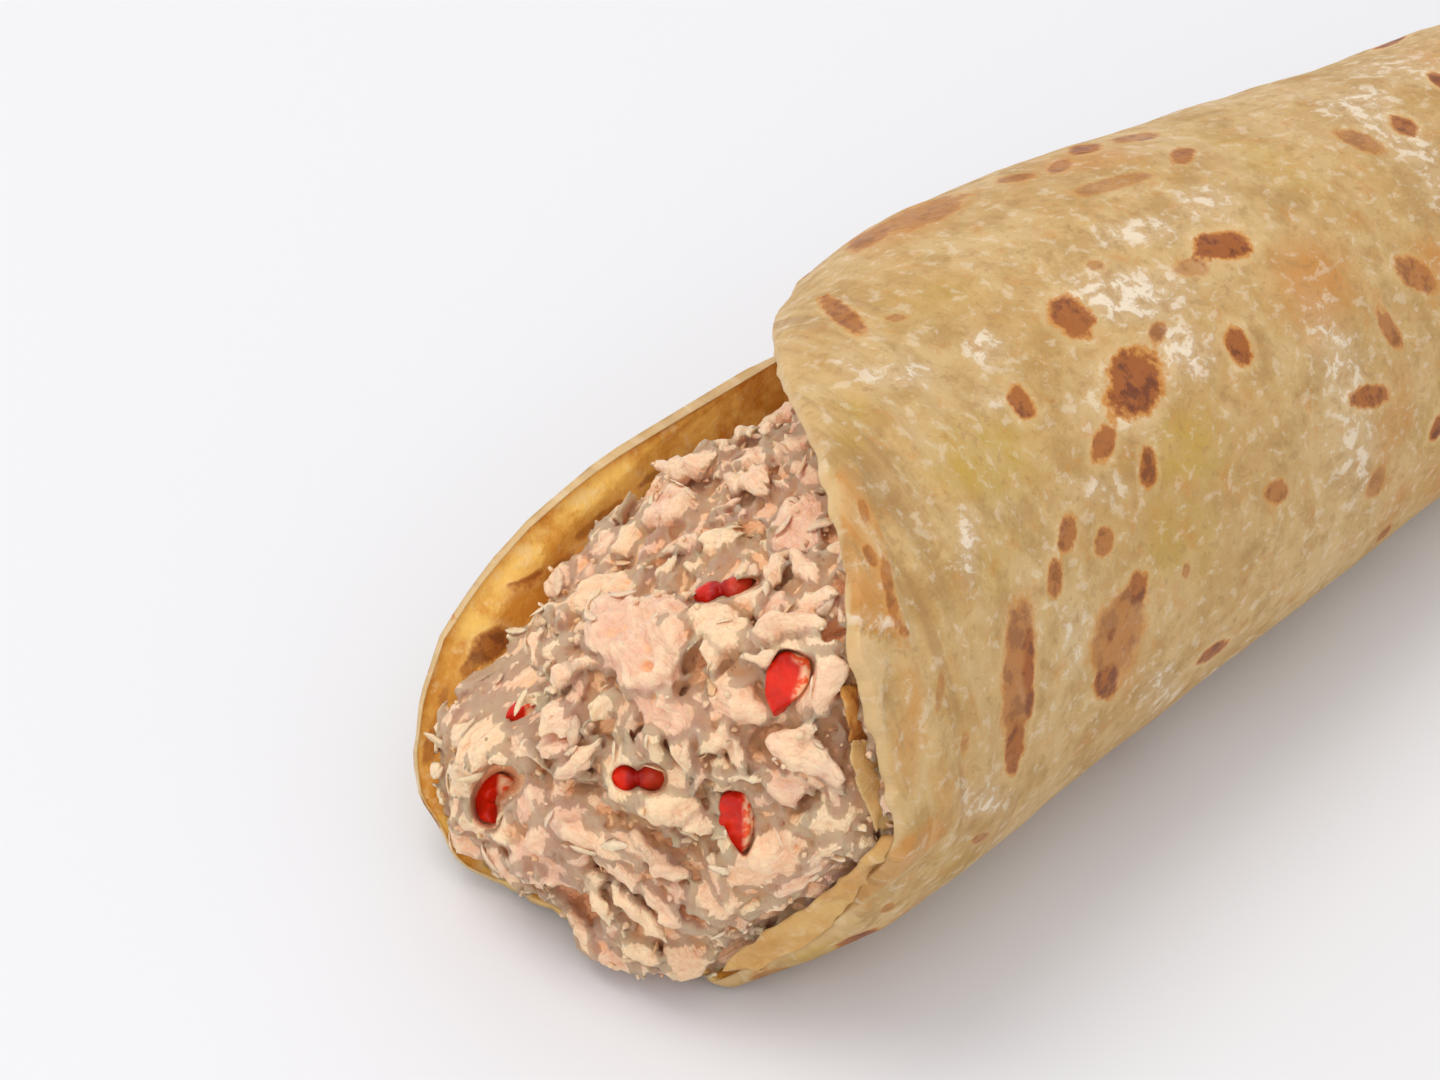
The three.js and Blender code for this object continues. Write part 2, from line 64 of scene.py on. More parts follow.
scene = bpy.context.scene
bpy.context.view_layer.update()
print("wrap: frame loaded")

# Everything below is worked out in the roll's own millimetres: x runs from the open end to the
# tail, and angles go round the roll in degrees, 0 at the bottom, 90 near side, 180 top.
rollShape = {
    "thick": 2.1,
    "widthShare": 1.03,
    "heightShare": 0.98,
    "restingShare": 0.085,
    "sideBend": -2.0,
    "radius": [(-10, 23.5), (0, 25.0), (28, 26.3), (56, 23.8), (84, 22.2), (112, 19.4),
               (140, 16.8), (168, 14.8), (190, 13.2)],
    "innerEdge": -104,
    "freeEdge": 312,
    "frontRim": [(-104, 64), (-96, 48), (-83, 34.5), (-70, 25), (-55, 19), (-40, 17), (-12, 19.3),
                 (21, 22.2), (60, 25.8), (96, 25.8), (121, 25.8), (146, 31.5), (177, 40),
                 (205, 51), (250, 72), (290, 92), (312, 106)],
    "tailRim": [(-104, 150), (-60, 170), (0, 183), (70, 189), (150, 186), (220, 176),
                (270, 163), (312, 146)],
    "turnLift": {"height": 3.1, "start": 105, "end": 240},
    "nearBelly": {"height": 1.8, "start": 4, "full": 40, "fade": 78, "end": 112,
                  "steadyTo": 24, "endsAt": 39},
    "lipCurl": {"depth": 4.0, "start": 14, "full": 40, "fade": 72, "end": 97, "reach": 16},
    "flapCurl": {"depth": 3.0, "start": 150, "full": 200, "fade": 222, "end": 250, "reach": 17},
    "blisters": {"count": 46, "height": 0.5, "radius": 8, "start": 15, "end": 185, "seed": 11},
}


# a smooth curve through a few places, level beyond its ends
def curveThrough(pairs):
    places = np.array([pair[0] for pair in pairs], float)
    values = np.array([pair[1] for pair in pairs], float)
    last = len(pairs) - 1
    before = np.maximum(np.arange(last + 1) - 1, 0)
    after = np.minimum(np.arange(last + 1) + 1, last)
    slopes = (values[after] - values[before]) / (places[after] - places[before])

    def read(place):
        place = np.clip(np.asarray(place, float), places[0], places[-1])
        i = np.clip(np.searchsorted(places, place, side="right") - 1, 0, last - 1)
        span = places[i + 1] - places[i]
        t = (place - places[i]) / span
        rise = values[i + 1] - values[i]
        bendIn = slopes[i] * span - rise
        bendOut = rise - slopes[i + 1] * span
        return values[i] + t * rise + t * (1 - t) * ((1 - t) * bendIn + t * bendOut)

    return read


def smoothStep(low, high, value):
    t = np.clip((value - low) / (high - low), 0, 1)
    return t * t * (3 - 2 * t)


# rises from start to full and falls again from fade to end
def swell(facts, place):
    rise = smoothStep(facts["start"], facts["full"], place)
    return rise * (1 - smoothStep(facts["fade"], facts["end"], place))


# the same stream of numbers as the solids were made with
def randomFrom(seed):
    state = seed * 7919 + 17
    while True:
        state = (state * 48271) % 2147483647
        yield state / 2147483647


noiseDirections = np.random.default_rng(4).normal(size=(32, 3)).astype(np.float32)
noiseDirections /= np.linalg.norm(noiseDirections, axis=1)[:, None]


def cornerHash(x, y, z, seed):
    h = x * np.uint32(374761393) + y * np.uint32(668265263) + z * np.uint32(2246822519)
    h = h + np.uint32((seed * 3266489917) % 4294967296)
    h = (h ^ (h >> np.uint32(13))) * np.uint32(1274126177)
    return h ^ (h >> np.uint32(16))


# soft noise from about -1 to 1, with lumps of the given size
def softNoise(points, size, seed=0):
    place = (points / size + 0.37 * seed).astype(np.float32)
    cell = np.floor(place)
    part = place - cell
    cell = cell.astype(np.int32).view(np.uint32)
    ease = part ** 3 * (part * (part * 6 - 15) + 10)
    total = np.zeros(len(points), np.float32)
    for corner in range(8):
        step = np.array([corner & 1, corner >> 1 & 1, corner >> 2 & 1], np.uint32)
        picked = cornerHash(*(cell + step).T, seed) & np.uint32(31)
        weight = np.prod(np.where(step > 0, ease, 1 - ease), axis=1)
        total += ((part - step.astype(np.float32)) * noiseDirections[picked]).sum(1) * weight
    return total * 1.6


# distance to the nearest of many scattered seeds
def cellNoise(points, size, seed=0):
    place = (points / size).astype(np.float32)
    cell = np.floor(place)
    part = place - cell
    cell = cell.astype(np.int32).view(np.uint32)
    nearest = np.full(len(points), 9.0, np.float32)
    for x in (-1, 0, 1):
        for y in (-1, 0, 1):
            for z in (-1, 0, 1):
                step = np.array([x, y, z], np.int32)
                h = cornerHash(*(cell + step.view(np.uint32)).T, seed)
                spot = np.stack([h & np.uint32(1023), h >> np.uint32(10) & np.uint32(1023),
                                 h >> np.uint32(20) & np.uint32(1023)], 1) / np.float32(1023)
                apart = np.sqrt(((step + spot - part) ** 2).sum(1)).astype(np.float32)
                nearest = np.minimum(nearest, apart)
    return nearest


radiusAt = curveThrough(rollShape["radius"])
frontRimAt = curveThrough(rollShape["frontRim"])
tailRimAt = curveThrough(rollShape["tailRim"])


def rollCentre(x):
    share = np.maximum(0, (x - 30) / 150)
    height = radiusAt(x) * rollShape["heightShare"] * (1 - rollShape["restingShare"])
    return rollShape["sideBend"] * share * share, height


def pointAt(x, angle, radius):
    y, z = rollCentre(x)
    turn = np.radians(angle)
    return np.stack([
        x + 0 * radius,
        y - np.sin(turn) * rollShape["widthShare"] * radius,
        z - np.cos(turn) * rollShape["heightShare"] * radius,
    ], -1)


# the angle and the radius at which points lie in the roll
def placeInRoll(x, y, z):
    middleY, middleZ = rollCentre(x)
    across = (y - middleY) / rollShape["widthShare"]
    up = (z - middleZ) / rollShape["heightShare"]
    angle = np.degrees(np.arctan2(-across, -up))
    angle = np.where(angle < rollShape["innerEdge"], angle + 360, angle)
    return angle, np.hypot(across, up)


def blisterPlaces():
    stream = randomFrom(rollShape["blisters"]["seed"])
    facts = rollShape["blisters"]
    span = rollShape["freeEdge"] - rollShape["innerEdge"]
    return [
        (rollShape["innerEdge"] + next(stream) * span,
         facts["start"] + next(stream) * (facts["end"] - facts["start"]),
         facts["height"] * (next(stream) * 1.6 - 0.6),
         facts["radius"] * (0.6 + 0.9 * next(stream)))
        for _ in range(facts["count"])
    ]


blisterList = blisterPlaces()


def curlDepth(curl, angle, behindRim):
    share = np.clip(1 - behindRim / curl["reach"], 0, 1)
    return curl["depth"] * swell(curl, angle) * share * share


# the middle radius of the bread at a place of the roll
def sheetRadius(angle, x):
    behindRim = np.maximum(x - frontRimAt(angle), 0)
    lift = rollShape["turnLift"]
    belly = rollShape["nearBelly"]
    height = lift["height"] * smoothStep(lift["start"], lift["end"], angle)
    fades = 1 - smoothStep(belly["steadyTo"], belly["endsAt"], x)
    height = height + belly["height"] * swell(belly, angle) * fades
    blister = 0
    for atAngle, atX, high, wide in blisterList:
        across = np.radians(angle - atAngle) * radiusAt(x) / wide
        along = (x - atX) / wide
        blister = blister + high * np.exp(-across * across - along * along)
    aboveTable = smoothStep(8, 40, np.abs(angle)) * smoothStep(0, 14, np.abs(angle - 360))
    return (radiusAt(x) - rollShape["thick"] / 2 + height + blister * aboveTable
            - curlDepth(rollShape["lipCurl"], angle, behindRim)
            - curlDepth(rollShape["flapCurl"], angle, behindRim))


# The photograph's own viewpoint, fitted to the outline of the roll.
photoView = {
    "width": 1440,
    "height": 1080,
    "turn": 46.0,
    "tilt": 38.0,
    "distance": 390.6,
    "aim": (35.27, 1.42, 33.73),
    "focal": 4807.9,  # in pixels of the photograph
    "sensor": 36.0,
    # nearest, furthest and number of places that are tried along a ray
    "faceReach": (300, 470, 700),
    "wallReach": (330, 430, 260),
}


def viewAxes():
    turn, tilt = math.radians(photoView["turn"]), math.radians(photoView["tilt"])
    right = np.array([math.cos(turn), -math.sin(turn), 0])
    back = np.array([-math.sin(turn) * math.cos(tilt), -math.cos(turn) * math.cos(tilt), math.sin(tilt)])
    return right, np.cross(back, right), back


viewRight, viewUp, viewBack = viewAxes()
viewPoint = np.array(photoView["aim"]) + photoView["distance"] * viewBack


def toPhoto(points):
    away = points - viewPoint
    depth = -(away @ viewBack)
    across = photoView["width"] / 2 + photoView["focal"] * (away @ viewRight) / depth
    down = photoView["height"] / 2 - photoView["focal"] * (away @ viewUp) / depth
    return across, down


def photoRay(across, down):
    direction = ((across - photoView["width"] / 2) / photoView["focal"] * viewRight
                 - (down - photoView["height"] / 2) / photoView["focal"] * viewUp - viewBack)
    return direction / np.linalg.norm(direction)


def pixelsPerMm(point):
    return photoView["focal"] / -float((point - viewPoint) @ viewBack)


# The frame's origin is under the middle of the CAD box, and the bread's box gives where the
# roll lies in it.
def rollOffset():
    low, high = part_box("chapati")
    angle = np.linspace(rollShape["innerEdge"], rollShape["freeEdge"], 61)[:, None]
    share = np.linspace(0, 1, 60)[None, :]
    x = frontRimAt(angle) + share * (tailRimAt(angle) - frontRimAt(angle))
    outer = pointAt(x, angle, sheetRadius(angle, x) + rollShape["thick"] / 2).reshape(-1, 3)
    middle = (np.array(low) + np.array(high)) * 500
    own = (outer.max(0) + outer.min(0)) / 2
    return np.array([middle[0] - own[0], middle[1] - own[1], 0.0])


offset = rollOffset()
print("wrap: the roll starts at", offset.round(2), "mm")


def makePiece(name, points, quads=(), triangles=()):
    quads = np.asarray(quads, np.int32).reshape(-1, 4)
    triangles = np.asarray(triangles, np.int32).reshape(-1, 3)
    mesh = bpy.data.meshes.new(name)
    mesh.vertices.add(len(points))
    mesh.vertices.foreach_set("co", ((np.asarray(points, float) + offset) / 1000).astype(np.float32).ravel())
    mesh.loops.add(quads.size + triangles.size)
    mesh.loops.foreach_set("vertex_index", np.concatenate([quads.ravel(), triangles.ravel()]))
    starts = np.concatenate([np.arange(len(quads)) * 4, quads.size + np.arange(len(triangles)) * 3])
    mesh.polygons.add(len(starts))
    mesh.polygons.foreach_set("loop_start", starts.astype(np.int32))
    mesh.polygons.foreach_set("use_smooth", np.ones(len(starts), bool))
    mesh.update(calc_edges=True)
    mesh.validate()
    piece = bpy.data.objects.new(name, mesh)
    scene.collection.objects.link(piece)
    return piece


# values on a piece's points that its material reads
def setValues(piece, **named):
    for name, values in named.items():
        values = np.asarray(values, np.float32)
        kind = "FLOAT" if values.ndim == 1 else "FLOAT_VECTOR"
        attribute = piece.data.attributes.new(name, kind, "POINT")
        attribute.data.foreach_set("value" if values.ndim == 1 else "vector", values.ravel())


# the four-cornered faces between numbered points in rows
def gridFaces(number, turnedOver=False):
    corners = [number[:-1, :-1], number[:-1, 1:], number[1:, 1:], number[1:, :-1]]
    if turnedOver:
        corners = [corners[0], corners[3], corners[2], corners[1]]
    return np.stack(corners, -1).reshape(-1, 4)


# colours are given as they look in the photograph, 0 to 255
def colour(red, green, blue):
    values = [c / 255 for c in (red, green, blue)]
    return [c / 12.92 if c < 0.04045 else ((c + 0.055) / 1.055) ** 2.4 for c in values] + [1.0]


def put(tree, socket, value):
    if isinstance(value, bpy.types.NodeSocket):
        tree.links.new(value, socket)
    else:
        socket.default_value = value


# a new node with its settings, and with values or other nodes' results put in
def addNode(tree, kind, settings=None, **inputs):
    node = tree.nodes.new(kind)
    for name, value in (settings or {}).items():
        setattr(node, name, value)
    for name, value in inputs.items():
        put(tree, node.inputs[name.replace("_", " ")], value)
    return node


# Short ways to build a material's nodes.
class Surface:
    def __init__(self, name):
        self.material = bpy.data.materials.new(name)
        self.material.use_nodes = True
        self.tree = self.material.node_tree
        self.skin = self.tree.nodes["Principled BSDF"]
        self.place = self.add("TexCoord").outputs["Object"]

    def add(self, kind, settings=None, **inputs):
        return addNode(self.tree, "ShaderNode" + kind, settings, **inputs)

    # what setValues wrote on the piece
    def value(self, name, output="Fac"):
        return self.add("Attribute", {"attribute_name": name}).outputs[output]

    # noise with lumps of the given size in millimetres
    def noise(self, size, detail=3.0, roughness=0.55, place=None, stretch=None, twist=0.0):
        source = self.place if place is None else place
        if stretch is not None:
            source = self.add("Mapping", Vector=source, Scale=stretch).outputs["Vector"]
        node = self.add("TexNoise", Vector=source, Scale=1000 / size, Detail=detail,
                        Roughness=roughness, Distortion=twist)
        return node.outputs["Fac"]

    def cells(self, size):
        return self.add("TexVoronoi", Vector=self.place, Scale=1000 / size).outputs["Distance"]

    def math(self, operation, first, second):
        node = self.add("Math", {"operation": operation})
        put(self.tree, node.inputs[0], first)
        put(self.tree, node.inputs[1], second)
        return node.outputs[0]

    def times(self, first, second):
        return self.math("MULTIPLY", first, second)

    def plus(self, first, second):
        return self.math("ADD", first, second)

    # outLow below low, outHigh above high, smooth between
    def step(self, low, high, value, outLow=0.0, outHigh=1.0):
        node = self.add("MapRange", {"interpolation_type": "SMOOTHSTEP"}, Value=value,
                        From_Min=low, From_Max=high, To_Min=outLow, To_Max=outHigh)
        return node.outputs["Result"]

    def mix(self, share, first, second):
        node = self.add("Mix", {"data_type": "RGBA"}, Factor=share)
        sockets = [s for s in node.inputs if s.type == "RGBA"]
        put(self.tree, sockets[0], first)
        put(self.tree, sockets[1], second)
        return [s for s in node.outputs if s.type == "RGBA"][0]

    def bump(self, height, distance, strength=1.0, after=None):
        before = {} if after is None else {"Normal": after}
        node = self.add("Bump", Height=height, Distance=distance / 1000, Strength=strength, **before)
        return node.outputs["Normal"]

    def finish(self, base, roughness, normal=None, **fixed):
        fixed.update(Base_Color=base, Roughness=roughness)
        if normal is not None:
            fixed["Normal"] = normal
        for name, value in fixed.items():
            put(self.tree, self.skin.inputs[name.replace("_", " ")], value)
        return self.material


# signed distance to a flat outline, below nothing inside it
def outlineDistance(outline, x, y):
    best = np.full(np.broadcast(x, y).shape, 1e9)
    inside = np.zeros(best.shape, bool)
    for (ax, ay), (bx, by) in zip(outline, np.roll(outline, -1, 0)):
        ex, ey = bx - ax, by - ay
        share = np.clip(((x - ax) * ex + (y - ay) * ey) / (ex * ex + ey * ey + 1e-9), 0, 1)
        best = np.minimum(best, (x - ax - share * ex) ** 2 + (y - ay - share * ey) ** 2)
        crosses = (ay > y) != (by > y)
        with np.errstate(divide="ignore", invalid="ignore"):
            crosses &= x < (bx - ax) * (y - ay) / (by - ay) + ax
        inside ^= crosses
    return np.where(inside, -np.sqrt(best), np.sqrt(best))


# The flatbread: one closed sheet rolled up, thin and round at its rims.
chapati = {
    "columns": 262,
    "rows": 186,
    "denser": 1.0,
    "meanRadius": 20.0,
    "rimThin": 0.32,
    "thinReach": 6.0,
    "rimRound": 0.6,
    "rimWave": 0.65,
    "waves": 0.3,
    "bubbles": 0.42,
    "innerBumps": 0.28,
    "wrinkles": {"height": 0.2, "apart": 4.4, "start": 62, "full": 92, "fade": 165, "end": 205,
                 "reach": 17},
}

# layers of the bread that are torn loose at the mouth, outlined in pixels of the photograph
tornLayers = [
    {"height": 0.34, "tint": "golden", "share": 1.0,
     "outline": [(836, 462), (858, 462), (880, 520), (895, 578), (902, 606), (911, 641), (888, 637),
                 (868, 632), (853, 624), (842, 560)]},
    {"height": 0.2, "tint": "rim", "share": 0.9,
     "outline": [(846, 622), (868, 632), (888, 637), (890, 652), (884, 690), (884, 720), (889, 752),
                 (874, 735), (858, 690)]},
    {"height": 0.26, "tint": "golden", "share": 1.0,
     "outline": [(806, 905), (850, 880), (900, 842), (935, 812), (950, 832), (905, 872), (860, 905),
                 (800, 940), (752, 962), (744, 950)]},
]


# how far places of the photograph are inside an outline on it, in pixels
def insideOutline(outline, across, down):
    return -outlineDistance(np.array(outline, float), across, down)


def edgeSteps():
    return chapati["rimRound"] * (1 - np.cos(np.radians([0, 25, 50, 72])))


def sheetAngles():
    first, last = rollShape["innerEdge"], rollShape["freeEdge"]
    steps = np.degrees(edgeSteps() / chapati["meanRadius"])
    reach = math.degrees(chapati["rimRound"] / chapati["meanRadius"])
    spread = np.linspace(first + reach, last - reach, 2000)
    weight = 1 + chapati["denser"] * smoothStep(10, 40, spread) * (1 - smoothStep(190, 230, spread))
    total = np.cumsum(weight) - weight[0]
    wanted = np.linspace(0, total[-1], chapati["columns"] - 2 * len(steps))
    middle = np.interp(wanted, total, spread)
    return np.concatenate([first + steps, middle, (last - steps)[::-1]])


# rows lie closest together at the open end
def sheetRows(front, tail):
    steps = edgeSteps()
    count = chapati["rows"] - 2 * len(steps)
    share = np.linspace(0, 1, count)
    share = 0.5 * share + 0.5 * share * share
    length = (tail - front)[:, None]
    reach = chapati["rimRound"]
    middle = reach + (length - 2 * reach) * share[None, :]
    ends = np.repeat(steps[None, :], len(front), 0)
    return front[:, None] + np.concatenate([ends, middle, length - ends[:, ::-1]], 1)


def roundEdge(away):
    share = np.clip(away / chapati["rimRound"], 0, 1)
    return np.sqrt(1 - (1 - share) ** 2)


def noiseOver(shape, points, size, seed):
    return softNoise(points.reshape(-1, 3), size, seed).reshape(shape)


def makeChapati():
    angles = sheetAngles()
    wave = np.stack([angles * 0.4, 0 * angles, 0 * angles], 1)
    ragged = softNoise(wave, 7, 1) + 0.6 * softNoise(wave, 2.6, 2) + 0.55 * softNoise(wave, 1.2, 15)
    rimWave = chapati["rimWave"] * ragged
    tailWave = 2 * chapati["rimWave"] * softNoise(wave, 9, 3)
    x = sheetRows(frontRimAt(angles) + rimWave, tailRimAt(angles) + tailWave)
    angle = np.repeat(angles[:, None], x.shape[1], 1)
    plain = sheetRadius(angle, x)
    at = pointAt(x, angle, plain)
    shape = x.shape
    fromRim = x - x[:, :1]
    toTail = x[:, -1:] - x
    fromSide = np.minimum(angle - angles[0], angles[-1] - angle) * math.radians(1) * chapati["meanRadius"]
    away = np.minimum(np.minimum(fromRim, toTail), fromSide)

    calm = 1 - 0.6 * (smoothStep(232, 258, angle) + 1 - smoothStep(-52, -30, angle))
    waves = noiseOver(shape, at, 17, 5) + 0.5 * noiseOver(shape, at, 7, 6)
    nearest = cellNoise(at.reshape(-1, 3), 7.5, 7)
    bubbles = np.clip(0.62 - nearest, 0, 1).reshape(shape) ** 1.3
    bubbles = bubbles * smoothStep(-0.1, 0.5, noiseOver(shape, at, 24, 8))
    wrinkle = chapati["wrinkles"]
    crease = np.sin((x + 2.2 * noiseOver(shape, at, 13, 9)) * 2 * math.pi / wrinkle["apart"])
    creased = swell(wrinkle, angle) * smoothStep(1.5, 5, fromRim)
    creased = creased * (1 - smoothStep(wrinkle["reach"] - 8, wrinkle["reach"], fromRim))
    middle = plain + calm * (chapati["waves"] * waves + 0.5 * chapati["bubbles"] * bubbles)
    middle = middle + wrinkle["height"] * crease * creased
    fine = 0.05 * noiseOver(shape, at, 1.7, 10) + 0.07 * noiseOver(shape, at, 3.4, 11)
    innerBumps = 0.7 * noiseOver(shape, at, 8, 12) + 0.4 * noiseOver(shape, at, 3, 13)
    innerBumps = chapati["innerBumps"] * innerBumps

    thin = chapati["rimThin"] + (1 - chapati["rimThin"]) * smoothStep(0, chapati["thinReach"], away)
    rough = 1 + 0.3 * noiseOver(shape, at, 2.6, 14) * (1 - smoothStep(0, 5, away))
    half = rollShape["thick"] / 2 * thin * rough * roundEdge(away)
    middle = middle + (rollShape["thick"] / 2) * (1 - thin) * smoothStep(-0.1, 0.5, away)
    hold = np.minimum(1, away / 0.8)
    outer = pointAt(x, angle, middle + half)
    across, down = toPhoto(outer.reshape(-1, 3))
    raised = np.zeros(len(across))
    for layer in tornLayers:
        within = insideOutline(layer["outline"], across, down)
        raised = np.maximum(raised, layer["height"] * smoothStep(-1.5, 4, within))
    raised = raised.reshape(shape) * smoothStep(15, 40, angle) * (1 - smoothStep(180, 220, angle))
    relief = hold * (fine + 0.5 * chapati["bubbles"] * bubbles * calm)
    outer = pointAt(x, angle, middle + half + relief + raised)
    inner = pointAt(x, angle, middle - half + hold * innerBumps * calm)
    outer[..., 2] = np.maximum(outer[..., 2], rollShape["thick"] / 2 - half + 0.01)
    inner[..., 2] = np.maximum(inner[..., 2], rollShape["thick"] / 2 + half)

    columns, rows = shape
    number = np.arange(columns * rows).reshape(shape)
    onEdge = np.zeros(shape, bool)
    onEdge[[0, -1], :] = True
    onEdge[:, [0, -1]] = True
    innerNumber = np.where(onEdge, number, 0)
    innerNumber[~onEdge] = columns * rows + np.arange((~onEdge).sum())
    points = np.concatenate([outer.reshape(-1, 3), inner[~onEdge]])
    points[number[onEdge]] = (outer[onEdge] + inner[onEdge]) / 2
    outerFaces = gridFaces(number)
    faces = np.concatenate([outerFaces, gridFaces(innerNumber, True)])

    def both(values):
        return np.concatenate([values.reshape(-1), values[~onEdge]])

    return {
        "points": points,
        "faces": faces,
        "outerCount": len(outerFaces),
        "angle": both(angle),
        "x": both(x),
        "fromRim": both(np.minimum(fromRim, toTail)),
        "inside": np.concatenate([np.zeros(columns * rows), np.ones((~onEdge).sum())]),
    }


bread = makeChapati()
chapatiPiece = makePiece("chapati_bread", bread["points"], bread["faces"])
print("wrap: chapati rolled,", 2 * len(bread["faces"]), "triangles")


# Marks on the bread that the photograph shows, outside and inside: pixel, half length, half width,
# turn in degrees (anticlockwise from level) and strength.
griddleMarks = {
    "outer": [
        ((1134, 382), 34, 29, 82, 1.0), ((1158, 332), 12, 8, 60, 0.5), ((1073, 318), 26, 18, -35, 0.9),
        ((1021, 402), 20, 11, -60, 0.85), ((1104, 443), 20, 12, 75, 0.8), ((1148, 467), 22, 9, 92, 0.8),
        ((1222, 246), 30, 14, 2, 1.0), ((1192, 268), 18, 9, 0, 0.3), ((1238, 346), 20, 12, -60, 0.95),
        ((843, 315), 30, 10, -38, 0.65), ((897, 318), 12, 4, 0, 0.4), ((925, 214), 48, 11, 20, 0.4),
        ((870, 238), 26, 8, 28, 0.5), ((1085, 149), 18, 5, 8, 0.7), ((1060, 166), 14, 6, 20, 0.45),
        ((1135, 138), 26, 4, 8, 0.5), ((1182, 156), 13, 8, 10, 0.65), ((1016, 178), 22, 4, 8, 0.45),
        ((1112, 184), 44, 7, 14, 0.3), ((1018, 672), 82, 15, 86, 0.5), ((1027, 664), 58, 7, 90, 1.0),
        ((1015, 742), 34, 9, 82, 0.85),
        ((1068, 534), 21, 9, 84, 0.7), ((1104, 542), 16, 9, 80, 0.6), ((1055, 580), 19, 8, 88, 0.65),
        ((1137, 589), 20, 10, 80, 0.85), ((1117, 636), 46, 24, 72, 0.4), ((1112, 636), 26, 9, 80, 0.9),
        ((1107, 680), 20, 12, 76, 0.85), ((1126, 600), 18, 8, 50, 0.5),
        ((1186, 571), 9, 4, 80, 0.4), ((1212, 652), 18, 5, 38, 0.9), ((864, 512), 15, 5, -75, 0.42),
        ((871, 556), 13, 6, -60, 0.45), ((886, 574), 22, 6, -80, 0.5), ((893, 606), 18, 6, -75, 0.5),
        ((901, 628), 12, 5, -50, 0.55), ((858, 938), 24, 4, 22, 0.9),
        ((980, 838), 10, 4, 25, 0.45), ((888, 908), 8, 4, 30, 0.35), ((1050, 400), 6, 4, 0, 0.25),
        ((1094, 265), 10, 5, 0, 0.3), ((940, 690), 22, 4, 84, 0.2), ((965, 742), 14, 4, 80, 0.25),
    ],
    "inner": [
        ((492, 645), 22, 15, 30, 0.75), ((528, 582), 26, 6, 22, 0.8), ((470, 668), 16, 10, 40, 0.5),
        ((432, 745), 24, 8, 75, 0.45), ((600, 520), 34, 6, 36, 0.35), ((660, 470), 20, 6, 35, 0.35),
        ((560, 560), 14, 5, 25, 0.4), ((443, 700), 12, 7, 60, 0.35),
    ],
    # whitish flaky patches, olive buttery patches and golden patches
    "flaky": [
        ((1127, 296), 84, 34, 0, 1.0), ((1180, 350), 48, 34, -20, 0.9), ((897, 375), 50, 17, 0, 0.85),
        ((985, 348), 22, 26, 60, 0.9), ((1135, 232), 62, 18, 4, 0.8), ((1205, 200), 40, 22, 0, 0.7),
        ((990, 400), 24, 14, 0, 0.5), ((968, 545), 14, 50, 0, 0.8), ((985, 800), 30, 22, 20, 0.75),
        ((1075, 640), 16, 50, 0, 0.6), ((1160, 690), 26, 34, 0, 0.6), ((1100, 490), 40, 20, 0, 0.5),
        ((845, 360), 16, 24, 0, 0.4), ((872, 620), 6, 50, 80, 0.7), ((1120, 400), 60, 60, 0, 0.4),
    ],
    "golden": [
        ((800, 925), 90, 30, 24, 1.0), ((760, 955), 70, 20, 18, 1.0), ((908, 722), 84, 20, 88, 0.75),
        ((900, 230), 70, 22, 20, 0.6), ((1090, 160), 80, 14, 8, 0.7), ((1020, 660), 22, 95, 0, 0.6),
        ((1118, 650), 34, 58, 0, 0.7), ((870, 760), 18, 60, 10, 0.5), ((905, 700), 16, 70, 0, 0.35),
        ((950, 800), 26, 40, 30, 0.3), ((1134, 382), 48, 44, 0, 0.4), ((1222, 246), 46, 26, 0, 0.4),
    ],
    "butter": [
        ((985, 460), 70, 50, 0, 1.0), ((1190, 450), 50, 50, 0, 0.9), ((850, 430), 22, 50, 0, 0.7),
        ((1180, 540), 44, 60, 0, 0.7), ((930, 300), 70, 26, 10, 0.4), ((1000, 560), 26, 50, 0, 0.4),
        ((960, 860), 40, 20, 30, 0.5),
    ],
}
# marks where the photograph shows nothing, also right of one of its pixels
hiddenMarks = {"count": 84, "length": (1.0, 3.2), "width": (0.6, 1.7), "patches": 30, "rightOf": 1262,
               "seed": 21}


# lengths along and across a direction that is turned by spin
def turnedBy(spin, right, upward):
    along = right * math.cos(spin) + upward * math.sin(spin)
    return along, upward * math.cos(spin) - right * math.sin(spin)


# How marks of one kind cover each point of the bread, 1 in a mark's middle and 0 at its rim, and
# how strong the mark there is.
def coverByPixels(points, wanted, marks, tree, ownFaces):
    across, down = toPhoto(points)
    cover = np.full(len(points), -1.0)
    heat = np.zeros(len(points))
    for pixel, long, wide, turn, dark in marks:
        found = tree.ray_cast(Vector(viewPoint), Vector(photoRay(*pixel)))
        if found[0] is None or not ownFaces(found[2]):
            continue
        hit = np.array(found[0])
        scale = pixelsPerMm(hit)
        near = wanted & (((points - hit) ** 2).sum(1) < (1.6 * max(long, wide) / scale + 2.5) ** 2)
        along, aside = turnedBy(math.radians(turn), across[near] - pixel[0], pixel[1] - down[near])
        share = 1 - (np.abs(along / long) ** 2.5 + np.abs(aside / wide) ** 2.5) ** 0.4
        better = share > cover[near]
        index = np.where(near)[0][better]
        cover[index] = share[better]
        heat[index] = dark
    return cover, heat


